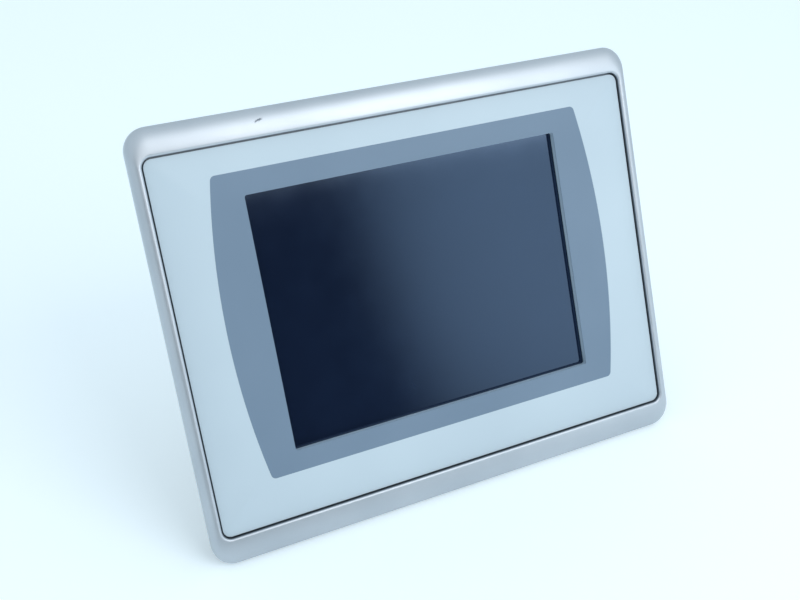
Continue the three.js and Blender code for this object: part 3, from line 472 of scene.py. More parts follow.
label_inner = (*BORDER, LABEL_BACK, 0, BORDER_Z), (*BORDER, LABEL_FACE, 0, BORDER_Z)
label = lofted("label_field", [
    (*LABEL, LABEL_BACK), (*LABEL, LABEL_FACE + 0.15), (*grown(LABEL, -0.05), LABEL_FACE + 0.04),
    (*grown(LABEL, -0.15), LABEL_FACE), *reversed(label_inner),
], closed=True, steps=12, bows=(4, 5))
border = lofted("label_border", [
    *label_inner, (*SCREEN, LABEL_FACE, 0, SCREEN_Z), (*SCREEN, LABEL_BACK, 0, SCREEN_Z),
], closed=True, bows=(0, 1))
shade(label)
shade(border)

# Matt polyester film, printed on its back: an even pale blue-grey with the film's fine grain.
pale_film = surface("pale_printed_film", ("#bdcad3", "#c5d2da"), grain=0.5,
                    roughness=(0.5, 0.62), relief=0.004, drift=200)
# The same film over a slate blue print.
slate_film = surface("slate_printed_film", ("#6b7f93", "#75889c"), grain=0.5,
                     roughness=(0.46, 0.58), relief=0.004, drift=200)
place_piece(label, pale_film, "label_film", "terminal", "front_label")
place_piece(border, slate_film, "label_film", "terminal", "front_label")

# ---- Window sleeve ---------------------
# A moulded sleeve that lines the opening from the label down to the touch screen. Its flange sits
# behind the bezel, and its front edge is rounded.
sleeve_low, sleeve_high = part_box("window_lip")
SLEEVE_FRONT = sleeve_low.y / MM
SLEEVE_BACK = sleeve_high.y / MM
opening = grown(SCREEN, 0.2)
tube = (213.8, 161.0, 2.6)
flange = (224, 171, 3)
FLANGE_FRONT = -4.9
sleeve = lofted("window_sleeve", [
    (*shape, y, 0, SCREEN_Z) for shape, y in (
        (grown(opening, 0.5), SLEEVE_FRONT), (grown(opening, 0.2), SLEEVE_FRONT + 0.1),
        (opening, SLEEVE_FRONT + 0.5), (opening, SLEEVE_BACK), (flange, SLEEVE_BACK),
        (flange, FLANGE_FRONT), (tube, FLANGE_FRONT), (tube, SLEEVE_FRONT))
], closed=True)
shade(sleeve)

# Moulded ABS, slate grey and fairly dull, with a fine moulded grain.
slate_abs = surface("moulded_slate_abs", ("#9fb1c1", "#aebfcd"), grain=0.6, roughness=(0.4, 0.55),
                    relief=0.008)
place_piece(sleeve, slate_abs, "lip_plastic", "terminal", "window_lip")

# ---- Touch screen ----------------------
# A flat plate of glass with a clear touch film, over a display that is off. It keeps its modelled
# shape.


def keep_nodes(material, *nodes):
    """Gives modelled parts that keep their shape a material."""
    for name in nodes:
        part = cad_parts[name]
        part.data.materials.clear()
        part.data.materials.append(material)


# Near-black blue and glossy, with the faint smears that fingers leave. The film's coating tints its
# reflections blue.
touch_glass = surface("touch_screen_glass", ("#0f182b", "#141f34"), grain=14, roughness=(0.08, 0.1),
                      relief=0.0, drift=6,
                      uniform={"IOR": 1.52, "Specular IOR Level": 0.8,
                               "Specular Tint": linear("#b9d8ff")})
keep_nodes(touch_glass, "touch_screen")

# ---- Display and boards ----------------
# Behind the touch screen lie a foam strip, the display in its pressed steel frame, and a folded
# chassis that carries three boards. Little of it shows, through the air slots and the sockets.

# Zinc-plated steel sheet: a bluish grey with a soft rolling grain along X, and dull where handled.
zinc_sheet = surface("zinc_plated_sheet", ("#8f989d", "#b4bbbd"), grain=0.8, roughness=(0.32, 0.5),
                     relief=0.006, drift=30, stretch=(0.12, 1, 1), uniform={"Metallic": 1.0})
# Clear acrylic of the light guide, white-edged, with a dot print too fine to show.
clear_acrylic = surface("clear_acrylic", ("#dfe7e8", "#eef3f3"), grain=1.2, roughness=(0.08, 0.2),
                        relief=0.002, uniform={"Transmission Weight": 0.5, "IOR": 1.49})
# Thin glass tube, white with phosphor inside.
lamp_tube = surface("phosphor_lamp_glass", ("#e9e9e0", "#f6f6ef"), grain=1.5, roughness=(0.1, 0.2),
                    relief=0.001, uniform={"IOR": 1.5})

TRACK_PITCH = 1.6
TRACK_FIELD = 14          # about how wide each field of parallel tracks is
WAVE_FACTOR = 20          # a wave texture repeats after math.tau over this many times its scale


def circuit_board(name, front, sheet, *nodes):
    """Gives boards their material: fibreglass under green solder mask, with parts on both faces.

    The sheet lies between two planes of Y. Copper tracks show through it as a lighter green, running
    along X in some fields and along Z in others, and what stands off the sheet is moulded black.
    """
    board = surface(name, ("#0c3a24", "#14502f"), grain=1.2, roughness=(0.25, 0.38), relief=0.01,
                    drift=12, uniform={"IOR": 1.55})
    place = add_node(board, "ShaderNodeTexCoord").outputs["Object"]
    runs = [add_node(board, "ShaderNodeTexWave", {"bands_direction": axis},
                     {"Scale": math.tau / (WAVE_FACTOR * TRACK_PITCH * MM)}, {"Vector": place})
            for axis in ("X", "Z")]
    fields = add_node(board, "ShaderNodeTexVoronoi", values={"Scale": 1 / (TRACK_FIELD * MM)},
                      links={"Vector": place})
    which = add_node(board, "ShaderNodeSeparateColor", links={"Color": fields.outputs["Color"]})
    turned = add_node(board, "ShaderNodeMath", {"operation": "GREATER_THAN"}, {1: 0.5},
                      {0: which.outputs["Red"]})
    track = add_node(board, "ShaderNodeMix", links={
        0: turned.outputs["Value"], 2: runs[0].outputs["Fac"], 3: runs[1].outputs["Fac"]})
    copper = add_node(board, "ShaderNodeMapRange", values={"From Min": 0.6, "From Max": 0.75},
                      links={"Value": track.outputs[0]})
    lay_over(board, copper.outputs["Result"], "#2f7f4f")
    height = add_node(board, "ShaderNodeSeparateXYZ", links={"Vector": place})
    from_middle = add_node(board, "ShaderNodeMath", {"operation": "SUBTRACT"},
                           {1: (front + sheet / 2) * MM}, {0: height.outputs["Y"]})
    off_middle = add_node(board, "ShaderNodeMath", {"operation": "ABSOLUTE"},
                          links={0: from_middle.outputs["Value"]})
    raised = add_node(board, "ShaderNodeMath", {"operation": "GREATER_THAN"},
                      {1: (sheet / 2 + 0.05) * MM}, {0: off_middle.outputs["Value"]})
    lay_over(board, raised.outputs["Value"], "#1b1c1e")
    keep_nodes(board, *nodes)


# Moulded black polyamide of connectors and sockets, satin and even.
black_polyamide = surface("moulded_black_polyamide", ("#141517", "#222427"), grain=0.5,
                          roughness=(0.38, 0.55), relief=0.008)
# Polyimide film over copper, a clear amber.
polyimide = surface("amber_polyimide_film", ("#8f520f", "#b8741e"), grain=1.0, roughness=(0.25, 0.35),
                    relief=0.004, stretch=(1, 0.1, 0.1), uniform={"IOR": 1.6})
# Extruded aluminium, plain, with fine lines along the fins.
extruded_aluminium = surface("extruded_aluminium", ("#a9adb0", "#c6c9cb"), grain=0.5,
                             roughness=(0.28, 0.42), relief=0.008, stretch=(1, 1, 0.05),
                             uniform={"Metallic": 1.0})
# Bright nickel plate over pressed steel, with the faint cloudiness that it takes on.
nickel_plate = surface("nickel_plate", ("#b9b7ae", "#d2d0c8"), grain=1.1, roughness=(0.16, 0.3),
                       relief=0.002, uniform={"Metallic": 1.0})
# Clear zinc over steel screws, brighter than the sheet.
bright_screw = surface("bright_zinc_screw", ("#a7adb0", "#cdd1d3"), grain=0.6, roughness=(0.22, 0.36),
                       relief=0.006, uniform={"Metallic": 1.0})


def numbered(name, count):
    return [f"{name}_{number}" for number in range(1, count + 1)]


keep_nodes(foam_rubber, "screen_seal")
keep_nodes(touch_glass, "lcd_panel")
keep_nodes(clear_acrylic, "light_guide")
keep_nodes(lamp_tube, "lamp_upper", "lamp_lower")
keep_nodes(zinc_sheet, "lcd_front_frame", "lcd_rear_tray", "display_chassis")
keep_nodes(bright_screw, *numbered("chassis_screw", 4))
circuit_board("solder_mask_lower_boards", 13.5, 1.6, "inverter_board", "touch_controller_board")
circuit_board("solder_mask_interface", 14, 1.6, "interface_board")
circuit_board("solder_mask_logic", 36, 1.6, "logic_board")
circuit_board("solder_mask_memory", 40, 1.2, "memory_module")
keep_nodes(black_polyamide, "display_connector", "battery_holder", "card_socket", "reset_switch")
keep_nodes(polyimide, "display_ribbon")
keep_nodes(extruded_aluminium, "heat_sink")
keep_nodes(nickel_plate, "backup_battery", *numbered("board_standoff", 4))

# ---- Rear housing ----------------------
# A moulded ABS shell over the display. Six pillars take the screws into the bezel, slots in its
# sides take the mounting clips, and a sunk field is left for a rating plate.


def add_block(low, high, bevel=0.0, segments=2):
    """Adds a box between two corners in millimetres, its edges rounded by this much."""
    low, high = Vector(low), Vector(high)
    centre = (low + high) / 2 * MM
    bpy.ops.mesh.primitive_cube_add(size=MM, location=centre)
    bpy.ops.transform.resize(value=high - low, center_override=centre)
    if bevel:
        bpy.ops.mesh.bevel(offset=bevel * MM, segments=segments, affect="EDGES")


def soften(piece, width, angle=40, segments=2):
    """Rounds every edge sharper than this angle, and shades the piece."""
    pick(piece)
    round_off = piece.modifiers.new("round_off", "BEVEL")
    round_off.width = width * MM
    round_off.segments = segments
    round_off.limit_method = "ANGLE"
    round_off.angle_limit = math.radians(angle)
    bpy.ops.object.modifier_apply(modifier=round_off.name)
    shade(piece, angle)
    even_out = piece.modifiers.new("even_out", "WEIGHTED_NORMAL")
    even_out.keep_sharp = True
    bpy.ops.object.modifier_apply(modifier=even_out.name)


HOUSING = ((housing_high.x - housing_low.x) / MM, (housing_high.z - housing_low.z) / MM, 8)
HOUSING_FRONT, HOUSING_BACK = housing_low.y / MM, housing_high.y / MM
WALL = 2.2
EDGE_ROUND = 1.8
quarter = turns(0, 22.5, 45, 67.5, 90)
housing = lofted("rear_shell", [(*HOUSING, HOUSING_FRONT)] + [
    (*grown(HOUSING, -EDGE_ROUND * (1 - math.cos(turn))),
     HOUSING_BACK - EDGE_ROUND * (1 - math.sin(turn))) for turn in quarter])
inside = grown(HOUSING, -WALL)
carve(housing, lofted("hollow", [(*inside, HOUSING_FRONT - 1), (*inside, HOUSING_BACK - WALL)]))
carve(housing, built("pillars", *(
    (add_rod, (x, HOUSING_FRONT + 0.3, z), "y", PILLAR_RADIUS, HOUSING_BACK - HOUSING_FRONT - 0.8)
    for x, z in PILLARS)), "UNION")

half_x, half_z = HOUSING[0] / 2, HOUSING[1] / 2
CLIP_LENGTH, CLIP_HEIGHT, CLIP_Y, CLIP_X, CLIP_Z = 16, 6, 12, 65, 5
COVER_SCREWS = [(x, z) for x in (-101, 101) for z in (-60, 50)]
HEAD_HOLE, HEAD_DEPTH = 3.4, 2.7
openings = start_piece("openings")
for x, z in PILLARS:
    add_rod((x, HOUSING_BACK - HEAD_DEPTH, z), "y", HEAD_HOLE, 4)
for z in (-half_z, half_z):
    for x in (-CLIP_X, CLIP_X):
        add_block((x - CLIP_LENGTH / 2, CLIP_Y - CLIP_HEIGHT / 2, z - 4),
                  (x + CLIP_LENGTH / 2, CLIP_Y + CLIP_HEIGHT / 2, z + 4))
    for x in (-36, -24, -12, 12, 24, 36):
        add_block((x - 1.2, 8, z - 4), (x + 1.2, 24, z + 4))
for x in (-half_x, half_x):
    add_block((x - 4, CLIP_Y - CLIP_HEIGHT / 2, CLIP_Z - CLIP_LENGTH / 2),
              (x + 4, CLIP_Y + CLIP_HEIGHT / 2, CLIP_Z + CLIP_LENGTH / 2))
add_block((-30, HOUSING_BACK - 6, -50), (30, HOUSING_BACK + 1, -36))   # passes a board connector
add_block((-62, HOUSING_BACK - 0.5, 82), (62, HOUSING_BACK + 1, 104))  # the rating plate's field
end_piece()
carve(housing, openings)
carve(housing, built(
    "bores", *((add_rod, (x, -1, z), "y", SCREW_HOLE, HOUSING_BACK + 2, 24) for x, z in PILLARS),
    *((add_rod, (x, HOUSING_BACK - 6, z), "y", SCREW_HOLE, 8, 24) for x, z in COVER_SCREWS),
    (add_rod, (118, HOUSING_BACK - 6, -92), "y", 2.4, 8, 24)))
soften(housing, 0.3)

# Moulded ABS, charcoal, with a spark-eroded grain drawn a little coarse so that it shows.
textured_abs = surface("textured_charcoal_abs", ("#2a2e32", "#3a3f44"), grain=0.7,
                       roughness=(0.5, 0.72), relief=0.05, drift=50)
place_piece(housing, textured_abs, "charcoal_plastic", "terminal", "rear_housing")

# ---- Screws ----------------------------
# Pan-head machine screws with a cross recess. Six hold the housing to the bezel, four hold the steel
# cover, and a larger nickel-plated one takes the earth wire.


def cross_screw(name, length, radius, head, rise):
    """A screw along Y with the underside of its head at the origin."""
    piece = built(name, (add_turned, (0, 0, 0), "y", [
        (radius * 0.5, -length), (radius, -length + radius * 0.6), (radius, 0), (head, 0),
        (head, rise * 0.45), (head * 0.95, rise * 0.68), (head * 0.84, rise * 0.88),
        (head * 0.66, rise)]))
    arm, half = head * 0.5, head * 0.12
    for x, z in ((arm, half), (half, arm)):
        carve(piece, built("cross", (add_block, (-x, rise * 0.35, -z), (x, rise + 1, z))))
    soften(piece, 0.08, angle=50)
    return piece


def copied(piece, name, place):
    """A copy with its own mesh, moved by this much."""
    twin = piece.copy()
    twin.data = piece.data.copy()
    twin.name = twin.data.name = name
    bpy.context.scene.collection.objects.link(twin)
    twin.data.transform(Matrix.Translation(place))
    return twin


def set_screws(pattern, material, slot, rise, *nodes):
    """Puts a copy of a screw where each of these modelled screws is, and removes the pattern."""
    for node in nodes:
        low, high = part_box(node)
        seat = Vector(((low.x + high.x) / 2, high.y - rise * MM, (low.z + high.z) / 2))
        place_piece(copied(pattern, f"{node}_turned", seat), material, slot, "terminal", node)
    bpy.data.objects.remove(pattern)


set_screws(cross_screw("housing_screw", 31.6, 1.5, 2.8, 2), bright_screw, "screw_steel", 2,
           *numbered("housing_screw", 6))
set_screws(cross_screw("cover_screw", 7.5, 1.5, 2.8, 2), bright_screw, "screw_steel", 2,
           *numbered("cover_screw", 4))
set_screws(cross_screw("earth_screw_pattern", 7, 2, 4, 2.6), nickel_plate, "nickel", 2.6,
           "earth_screw")

# ---- Logic cover -----------------------
# A folded steel box over the logic board, screwed to the housing by two flanges. Its bends are
# rounded; slots let the air through, and the bottom wall is punched for the sockets.
FLANGE = 12
COVER_WALL = 1.2
BEND = 1.5
cover_low, cover_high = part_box("logic_cover")
COVER_FRONT = cover_low.y / MM
COVER_LOW, COVER_HIGH = cover_low.z / MM, cover_high.z / MM
COVER_HALF = cover_high.x / MM - FLANGE
COVER_BACK = 53
COVER_Z = (COVER_LOW + COVER_HIGH) / 2
outside = (2 * COVER_HALF, COVER_HIGH - COVER_LOW, BEND)
cover = lofted("steel_cover", [(*outside, COVER_FRONT, 0, COVER_Z)] + [
    (*grown(outside, -(BEND - 0.1) * (1 - math.cos(turn))), COVER_BACK - BEND * (1 - math.sin(turn)),
     0, COVER_Z) for turn in quarter], steps=5)
hollow = grown(outside, -COVER_WALL)
carve(cover, lofted("hollow", [
    (*hollow, COVER_FRONT - 1, 0, COVER_Z), (*hollow, COVER_BACK - COVER_WALL, 0, COVER_Z)], steps=5))
carve(cover, built("flanges", *(
    (add_block, (left, COVER_FRONT, COVER_LOW), (right, COVER_FRONT + COVER_WALL, COVER_HIGH))
    for left, right in ((-COVER_HALF - FLANGE, 0.5 - COVER_HALF),
                        (COVER_HALF - 0.5, COVER_HALF + FLANGE)))), "UNION")

door_low, door_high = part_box("battery_door")
pin_low, pin_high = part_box("battery_door_pin")
HINGE_X, HINGE_Y = (pin_low.x + pin_high.x) / 2 / MM, (pin_low.y + pin_high.y) / 2 / MM
DOOR_LOW, DOOR_HIGH = door_low.z / MM, door_high.z / MM
DOOR_EDGE = door_high.x / MM
BARREL = (-27, -3)
KNUCKLE, PIN_HOLE, HINGE_GAP = 1.9, 0.85, 0.4          # the first two are radii
knuckle_spans = (DOOR_LOW, BARREL[0] - HINGE_GAP), (BARREL[1] + HINGE_GAP, DOOR_HIGH)
carve(cover, built("knuckles", *(
    (add_rod, (HINGE_X, HINGE_Y, low), "z", KNUCKLE, high - low)
    for low, high in knuckle_spans)), "UNION")
carve(cover, built("webs", *(
    (add_block, (HINGE_X - 1.2, COVER_BACK - 0.5, low), (HINGE_X + 1.2, HINGE_Y, high))
    for low, high in knuckle_spans)), "UNION")

AIR_SLOT = (2.4, 46, 1.15)
slots = lofted("slots", [(*AIR_SLOT, COVER_BACK + depth, -16, 15) for depth in (-3, 1)], steps=6)
reopen(slots)
bpy.ops.mesh.select_all(action="SELECT")
for _ in range(8):
    bpy.ops.mesh.duplicate_move(TRANSFORM_OT_translate={"value": (6 * MM, 0, 0)})
for number in range(15):
    x = -70 + number * 10
    add_block((x - 1.2, 38.3, COVER_HIGH - 3), (x + 1.2, 49, COVER_HIGH + 1))
SOCKET_HOLES = [(-72, 43.2, 17.8, 10.4), (-38, 44.5, 19.6, 10.8), (-4, 44.65, 16.8, 14.2),
                (20, 41.3, 14, 6.6), (38, 41.3, 14, 6.6)]
for x, y, wide, deep in SOCKET_HOLES:
    add_block((x - wide / 2, y - deep / 2, COVER_LOW - 1), (x + wide / 2, y + deep / 2, COVER_LOW + 2.2))
RESET_X, RESET_Y = 58, 42.5
add_rod((RESET_X, RESET_Y, COVER_LOW - 1), "z", 2.2, 3.2)
card_low, card_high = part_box("memory_card")
add_block((COVER_HALF - 3, card_low.y / MM - 0.5, card_low.z / MM - 0.5),
          (COVER_HALF + 1, card_low.y / MM + 3.8, card_high.z / MM + 0.5))
add_block((-81, COVER_BACK - 3, DOOR_LOW + 3), (DOOR_EDGE - 3, COVER_BACK + 1, DOOR_HIGH - 3))
add_rod((HINGE_X, HINGE_Y, DOOR_LOW - 1), "z", PIN_HOLE, DOOR_HIGH - DOOR_LOW + 2, 20)
for x, z in COVER_SCREWS:
    add_rod((x, COVER_FRONT - 1, z), "y", SCREW_HOLE, 4, 24)
end_piece()
carve(cover, slots)
soften(cover, 0.12)
place_piece(cover, zinc_sheet, "zinc_steel", "terminal", "logic_cover")

# ---- Battery door ----------------------
# A moulded door over the backup battery. It swings on a steel pin between the cover's knuckles, and
# a snap tab on its free edge holds it shut. Three ridges give a fingernail something to pull.
DOOR_FRONT = 53.3
DOOR_BACK = DOOR_FRONT + 1.5
barrel_length = BARREL[1] - BARREL[0]
ridges = [DOOR_EDGE - 6 + number * 1.8 for number in range(3)]
door = built("moulded_battery_door", (
    add_block, (HINGE_X + 1.2, DOOR_FRONT, DOOR_LOW), (DOOR_EDGE, DOOR_BACK, DOOR_HIGH), 0.35, 3))
carve(door, built("corners", *(
    (add_block, (HINGE_X - 2.6, DOOR_FRONT - 1, low), (HINGE_X + 2.6, DOOR_BACK + 1, high))
    for low, high in ((DOOR_LOW - 1, BARREL[0]), (BARREL[1], DOOR_HIGH + 1)))))
carve(door, built("barrel", (
    add_rod, (HINGE_X, HINGE_Y, BARREL[0]), "z", KNUCKLE, barrel_length)), "UNION")
carve(door, built(
    "fittings",
    (add_block, (DOOR_EDGE - 4.5, DOOR_FRONT - 2.6, -19), (DOOR_EDGE - 3.5, DOOR_FRONT + 0.5, -11)),
    *((add_block, (x, DOOR_BACK - 0.4, -22), (x + 0.9, DOOR_BACK + 0.8, -8)) for x in ridges)), "UNION")
carve(door, built(
    "bore", (add_rod, (HINGE_X, HINGE_Y, BARREL[0] - 1), "z", PIN_HOLE, barrel_length + 2, 20),
    (add_block, (-76, DOOR_BACK - 0.3, -28), (-48, DOOR_BACK + 1, -2))))
soften(door, 0.15)
place_piece(door, textured_abs, "charcoal_plastic", "battery_door", "battery_door")
keep_nodes(bright_screw, "battery_door_pin")

# ---- Memory card -----------------------
# A card in a thin moulded frame with metal faces, a blank field on its back and grooves down its
# edges. It is pushed into its socket through the slot in the side of the cover.
low, high = card_low / MM, card_high / MM
card_back = low.y + 3.3
GRIP_INSET = 9.4
card = built("memory_card_body", (add_block, low, (high.x, card_back, high.z), 0.3, 3))
carve(card, built(
    "grooves", *((add_block, (low.x - 1, low.y + 1.2, z - 0.7), (high.x - 3, low.y + 2.1, z + 0.7))
                 for z in (low.z, high.z)),
    (add_block, (low.x + 3, card_back - 0.15, low.z + 4), (high.x - 4, card_back + 1, high.z - 4))))
carve(card, built("grip", (
    add_block, (high.x - 1.2, card_back - 0.5, low.z + GRIP_INSET),
    (high.x, high.y, high.z - GRIP_INSET))), "UNION")
soften(card, 0.1)
place_piece(card, textured_abs, "charcoal_plastic", "memory_card", "memory_card")

# ---- Sockets ---------------------------
# Sockets soldered to the board show through the cover's bottom wall: pressed nickel-plated shells
# round black insulators. The network socket has spring fingers and eight gilt contacts.
JACK_X, CONTACT_PITCH = -4, 1.02


def limits(node):
    """The two corners of a modelled part's box, in millimetres."""
    return [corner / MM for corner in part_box(node)]


low, high = limits("network_jack")
jack = built("network_shell", (add_block, low, high, 0.25))
carve(jack, built("mouth", (add_block, (-9.9, 40.65, low.z - 1), (1.9, 48.65, -69))))
carve(jack, built("keyway", (add_block, (-7, 47.6, low.z - 1), (-1, 50.3, -71))))
shade(jack)
place_piece(jack, nickel_plate, "nickel", "terminal", "network_jack")
insert = built("network_insert", (add_block, (-9.8, 40.75, -72), (1.8, 42.0, -69.2), 0.1))
place_piece(insert, black_polyamide, "black_plastic", "terminal", "network_jack")
contacts = built("network_contacts", *(
    (add_block, (x - 0.2, 42.0, -79), (x + 0.2, 42.4, -70), 0.06)
    for x in (JACK_X + (number - 3.5) * CONTACT_PITCH for number in range(8))))
# Gold flash over nickel on the contacts.
gilt = surface("gold_flash", ("#c99a3c", "#e0b95c"), grain=0.8, roughness=(0.18, 0.3), relief=0.001,
               uniform={"Metallic": 1.0})
place_piece(contacts, gilt, "nickel", "terminal", "network_jack")

for number in (1, 2):
    low, high = limits(f"usb_port_{number}")
    shell = built(f"usb_shell_{number}", (add_block, low, high, 0.4, 3))
    carve(shell, built("mouth", (
        add_block, low + Vector((0.5, 0.5, -1)), high - Vector((0.5, 0.5, 3)), 0.15)))
    shade(shell)
    place_piece(shell, nickel_plate, "nickel", "terminal", f"usb_port_{number}")
    tongue = built(f"usb_tongue_{number}", (
        add_block, (low.x + 1.1, low.y + 2.7, low.z + 0.8), (high.x - 1.1, low.y + 4.5, high.z - 3.2),
        0.12))
    place_piece(tongue, black_polyamide, "black_plastic", "terminal", f"usb_port_{number}")

# ---- Serial connector ------------------
# A nine-pin plug with a drawn D-shaped shell on a pressed flange. The flange lies outside the cover
# between two hexagonal jack posts, and gilt pins stand in a black insulator.
SERIAL_X, SERIAL_Y = -38, 44.5
FLANGE_FACE, FLANGE_SEAT, SHELL_RIM = -83.1, -82.3, -88.3


def d_block(name, grow, low, high):
    """A block along Z with the outline of the D-shaped shell, grown by this much."""
    wide, narrow, half = 9 + grow, 7.6 + grow, 4.4 + grow
    centre = Vector((SERIAL_X, SERIAL_Y, low)) * MM
    piece = start_piece(name)
    bpy.ops.mesh.primitive_plane_add(size=MM, location=centre)
    bpy.ops.transform.resize(value=(2 * wide, 2 * half, 1), center_override=centre)
    bpy.ops.mesh.select_mode(type="EDGE")
    end_piece()
    for edge in piece.data.edges:
        edge.select = all(piece.data.vertices[end].co.y < centre.y for end in edge.vertices)
    bpy.ops.object.mode_set(mode="EDIT")
    bpy.ops.transform.resize(value=(narrow / wide, 1, 1), center_override=centre)
    bpy.ops.mesh.select_mode(type="VERT")
    bpy.ops.mesh.select_all(action="SELECT")
    bpy.ops.mesh.bevel(offset=(2.2 + grow) * MM, segments=6, affect="VERTICES")
    bpy.ops.mesh.extrude_region_move(TRANSFORM_OT_translate={"value": (0, 0, (high - low) * MM)})
    end_piece()
    return piece


serial = d_block("serial_shell", 0, SHELL_RIM, FLANGE_SEAT - 0.3)
carve(serial, built("plate", (
    add_block, (SERIAL_X - 15.5, SERIAL_Y - 6.25, FLANGE_FACE),
    (SERIAL_X + 15.5, SERIAL_Y + 6.25, FLANGE_SEAT), 0.25)), "UNION")
jack_posts = SERIAL_X - 12.5, SERIAL_X + 12.5
carve(serial, built("posts", *(
    (add_rod, (x, SERIAL_Y, SHELL_RIM + 0.5), "z", 2.4, 5.4, 6) for x in jack_posts)), "UNION")
carve(serial, built("bores", *(
    (add_rod, (x, SERIAL_Y, SHELL_RIM - 0.5), "z", 1.25, 5, 20) for x in jack_posts)))
carve(serial, d_block("inside", -0.6, SHELL_RIM - 1, FLANGE_FACE + 0.1))
soften(serial, 0.12)
place_piece(serial, nickel_plate, "nickel", "terminal", "serial_connector")
insulator = d_block("serial_insulator", -0.65, -85, FLANGE_FACE + 0.05)
reopen(insulator)
add_block((SERIAL_X - 9.3, SERIAL_Y - 4.9, FLANGE_SEAT + 0.02),
          (SERIAL_X + 9.3, SERIAL_Y + 4.9, -66), 0.3)
end_piece()
face_outwards(insulator)
shade(insulator)
place_piece(insulator, black_polyamide, "black_plastic", "terminal", "serial_connector")
PIN_PITCH = 2.77
PIN_PROFILE = [(0.2, 0), (0.42, 0.15), (0.5, 0.5), (0.5, 2.6)]
pins = built("serial_pins", *(
    (add_turned, (SERIAL_X + (number - (count - 1) / 2) * PIN_PITCH, y, SHELL_RIM + 1), "z",
     PIN_PROFILE, 16)
    for count, y in ((5, SERIAL_Y + 1.4), (4, SERIAL_Y - 1.4)) for number in range(count)))
face_outwards(pins)
shade(pins)
place_piece(pins, gilt, "nickel", "terminal", "serial_connector")

# ---- Power header and plug -------------
# A three-pole screw terminal block of moulded green polyamide. The plug pulls down out of its header;
# the wires enter it from below, and plated screws in its back wall clamp them.
green_polyamide = surface("moulded_green_polyamide", ("#2a7a3c", "#3c9350"), grain=0.6,
                          roughness=(0.4, 0.55), relief=0.01)
POWER_X, POWER_Y, POLE_PITCH = -72, 43.2, 5.08
plug_low, plug_high = limits("power_plug")
low, high = limits("power_header")
header = built("header_shell", (add_block, low, high, 0.25))
carve(header, built("mouth", (
    add_block, low + Vector((0.9, 0.9, -1)), high - Vector((0.9, 0.9, 3.5)))))
shade(header)
place_piece(header, green_polyamide, "green_plug", "terminal", "power_header")
PLUG_TOP = plug_low.z + 13
poles = [POWER_X + offset * POLE_PITCH for offset in (-1, 0, 1)]
blades = built("header_blades", *(
    (add_block, (x - 0.5, POWER_Y - 0.5, -80), (x + 0.5, POWER_Y + 0.5, high.z - 3.2), 0.1)
    for x in poles))
place_piece(blades, bright_screw, "screw_steel", "terminal", "power_header")
plug = built("terminal_plug", (add_block, plug_low, (plug_high.x, plug_high.y, PLUG_TOP), 0.4, 3))
carve(plug, built("nose", (
    add_block, (POWER_X - 7.2, POWER_Y - 3.5, PLUG_TOP - 0.5),
    (POWER_X + 7.2, POWER_Y + 3.5, plug_high.z))), "UNION")
holes = start_piece("holes")
for x in poles:
    add_rod((x, POWER_Y - 1.5, plug_low.z - 1), "z", 1.5, 9, 20)
    add_rod((x, plug_high.y - 1, PLUG_TOP - 5), "y", 1.7, 3, 24)
    add_block((x - 0.9, POWER_Y - 0.9, -81.5), (x + 0.9, POWER_Y + 0.9, plug_high.z + 1))
for x in (poles[0] + POLE_PITCH / 2, poles[1] + POLE_PITCH / 2):
    add_block((x - 0.25, plug_high.y - 0.4, plug_low.z - 1), (x + 0.25, plug_high.y + 1, PLUG_TOP - 2))
end_piece()
carve(plug, holes)
soften(plug, 0.12)
place_piece(plug, green_polyamide, "green_plug", "power_plug", "power_plug")
CLAMP_PROFILE = [(1.6, 0), (1.6, 0.4), (1.4, 0.6)]
clamps = built("clamp_screws", *(
    (add_turned, (x, plug_high.y - 0.95, PLUG_TOP - 5), "y", CLAMP_PROFILE, 24) for x in poles))
carve(clamps, built("driver_slots", *(
    (add_block, (x - 2, plug_high.y - 0.6, PLUG_TOP - 5.25), (x + 2, plug_high.y, PLUG_TOP - 4.75))
    for x in poles)))
soften(clamps, 0.05)
place_piece(clamps, bright_screw, "screw_steel", "power_plug", "power_plug")

# ---- Reset button ----------------------
# A small moulded button with a rounded tip, almost flush with the cover's bottom wall, so that it
# takes a deliberate push. A collar inside the wall keeps it in.
low, high = limits("reset_button")
button = built("reset_plunger", (add_turned, (RESET_X, RESET_Y, low.z), "z", [
    (1.1, 0), (1.5, 0.15), (1.75, 0.5), (1.8, 0.8), (1.8, 2.8), (2.8, 2.8), (3.0, 3.0),
    (3.0, high.z - low.z - 0.2), (2.8, high.z - low.z)]))
face_outwards(button)
shade(button)
place_piece(button, black_polyamide, "black_plastic", "reset_button", "reset_button")

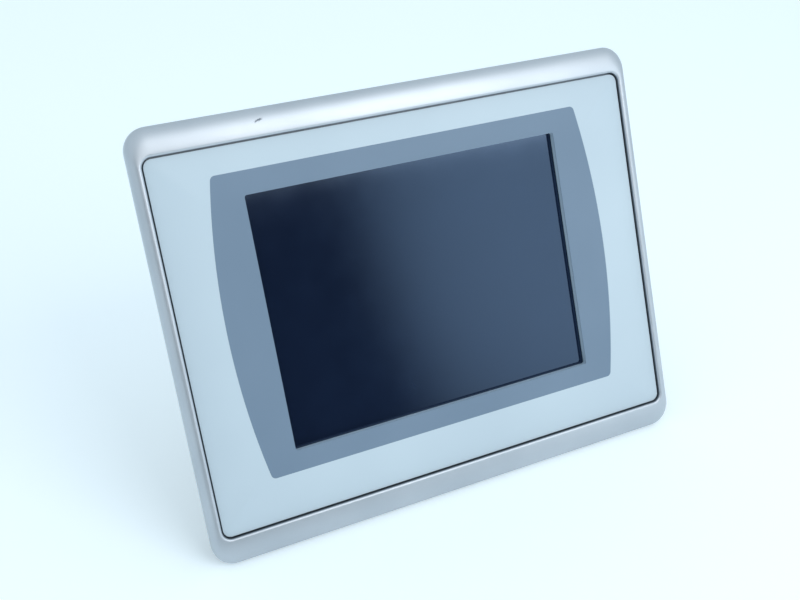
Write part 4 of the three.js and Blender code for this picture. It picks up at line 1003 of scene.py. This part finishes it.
# ---- Floor and lights ------------------
# A plain pale table under a pale room. A softbox before the terminal lights its upper edge, and a
# darker patch in the room is what the left of the screen reflects.
floor = start_piece("floor")
bpy.ops.mesh.primitive_plane_add(size=30)
end_piece()
floor.matrix_world = Matrix.Translation((0, 0, bezel_low.z)) @ Matrix.Rotation(LEAN, 4, "X")
pale_floor = bpy.data.materials.new("pale_floor")
pale_floor.use_nodes = True
set_inputs(pale_floor.node_tree.nodes["Principled BSDF"], {
    "Base Color": linear("#e8f1f5"), "Roughness": 0.9, "Specular IOR Level": 0.0,
    "Emission Color": linear("#f2f8fa"), "Emission Strength": 0.24})
floor.data.materials.append(pale_floor)
floor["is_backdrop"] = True


def towards(azimuth, elevation):
    """A direction over the table: degrees to the right of straight ahead, and degrees up."""
    turn, rise = math.radians(azimuth), math.radians(elevation)
    ahead = Vector((0, -math.cos(LEAN), -math.sin(LEAN)))
    flat = ahead * math.cos(turn) + Vector((1, 0, 0)) * math.sin(turn)
    return flat * math.cos(rise) + TABLE_UP * math.sin(rise)


def patch(world, place, direction, inner, outer):
    """One within the inner angle of a direction, in degrees, and nothing beyond the outer."""
    aligned = add_node(world, "ShaderNodeVectorMath", {"operation": "DOT_PRODUCT"}, {1: direction},
                       {0: place})
    return add_node(world, "ShaderNodeMapRange", {"interpolation_type": "SMOOTHSTEP"},
                    {"From Min": math.cos(math.radians(outer)),
                     "From Max": math.cos(math.radians(inner))},
                    {"Value": aligned.outputs["Value"]}).outputs["Result"]


world = bpy.data.worlds.new("studio")
bpy.context.scene.world = world
world.use_nodes = True
room = world.node_tree.nodes["Background"]
room.inputs["Color"].default_value = linear("#e0f1fb")
way = add_node(world, "ShaderNodeTexCoord").outputs["Generated"]
dark_wall = patch(world, way, towards(3, 12), 20, 32)
left_of_edge = patch(world, way, towards(21.5 - 90, 0), 87.5, 92.5)
dark_part = add_node(world, "ShaderNodeMath", {"operation": "MULTIPLY"},
                     links={0: dark_wall, 1: left_of_edge})
lit_part = add_node(world, "ShaderNodeMath", {"operation": "MULTIPLY_ADD"}, {1: -0.92, 2: 0.95},
                    {0: dark_part.outputs["Value"]})
brighter = add_node(world, "ShaderNodeMath", {"operation": "MULTIPLY_ADD"}, {1: 1.3},
                    {0: patch(world, way, towards(36, 12), 6, 17), 2: lit_part.outputs["Value"]})
world.node_tree.links.new(brighter.outputs["Value"], room.inputs["Strength"])
bpy.context.scene.view_settings.view_transform = "Standard"

LIT_POINT = Vector((0, 0, 0.05))
softbox = bpy.data.objects.new("key_softbox", bpy.data.lights.new("key_softbox", "AREA"))
bpy.context.scene.collection.objects.link(softbox)
softbox.data.shape = "RECTANGLE"
softbox.data.size, softbox.data.size_y = 0.85, 0.7
softbox.data.energy = 5.6
softbox.location = towards(22, 38) * 1.3
softbox.rotation_euler = (LIT_POINT - softbox.location).to_track_quat("-Z", "Y").to_euler()

# ---- Size and end ----------------------
# The box round the pieces that are shown, leaving out the floor, is measured.
low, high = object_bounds()
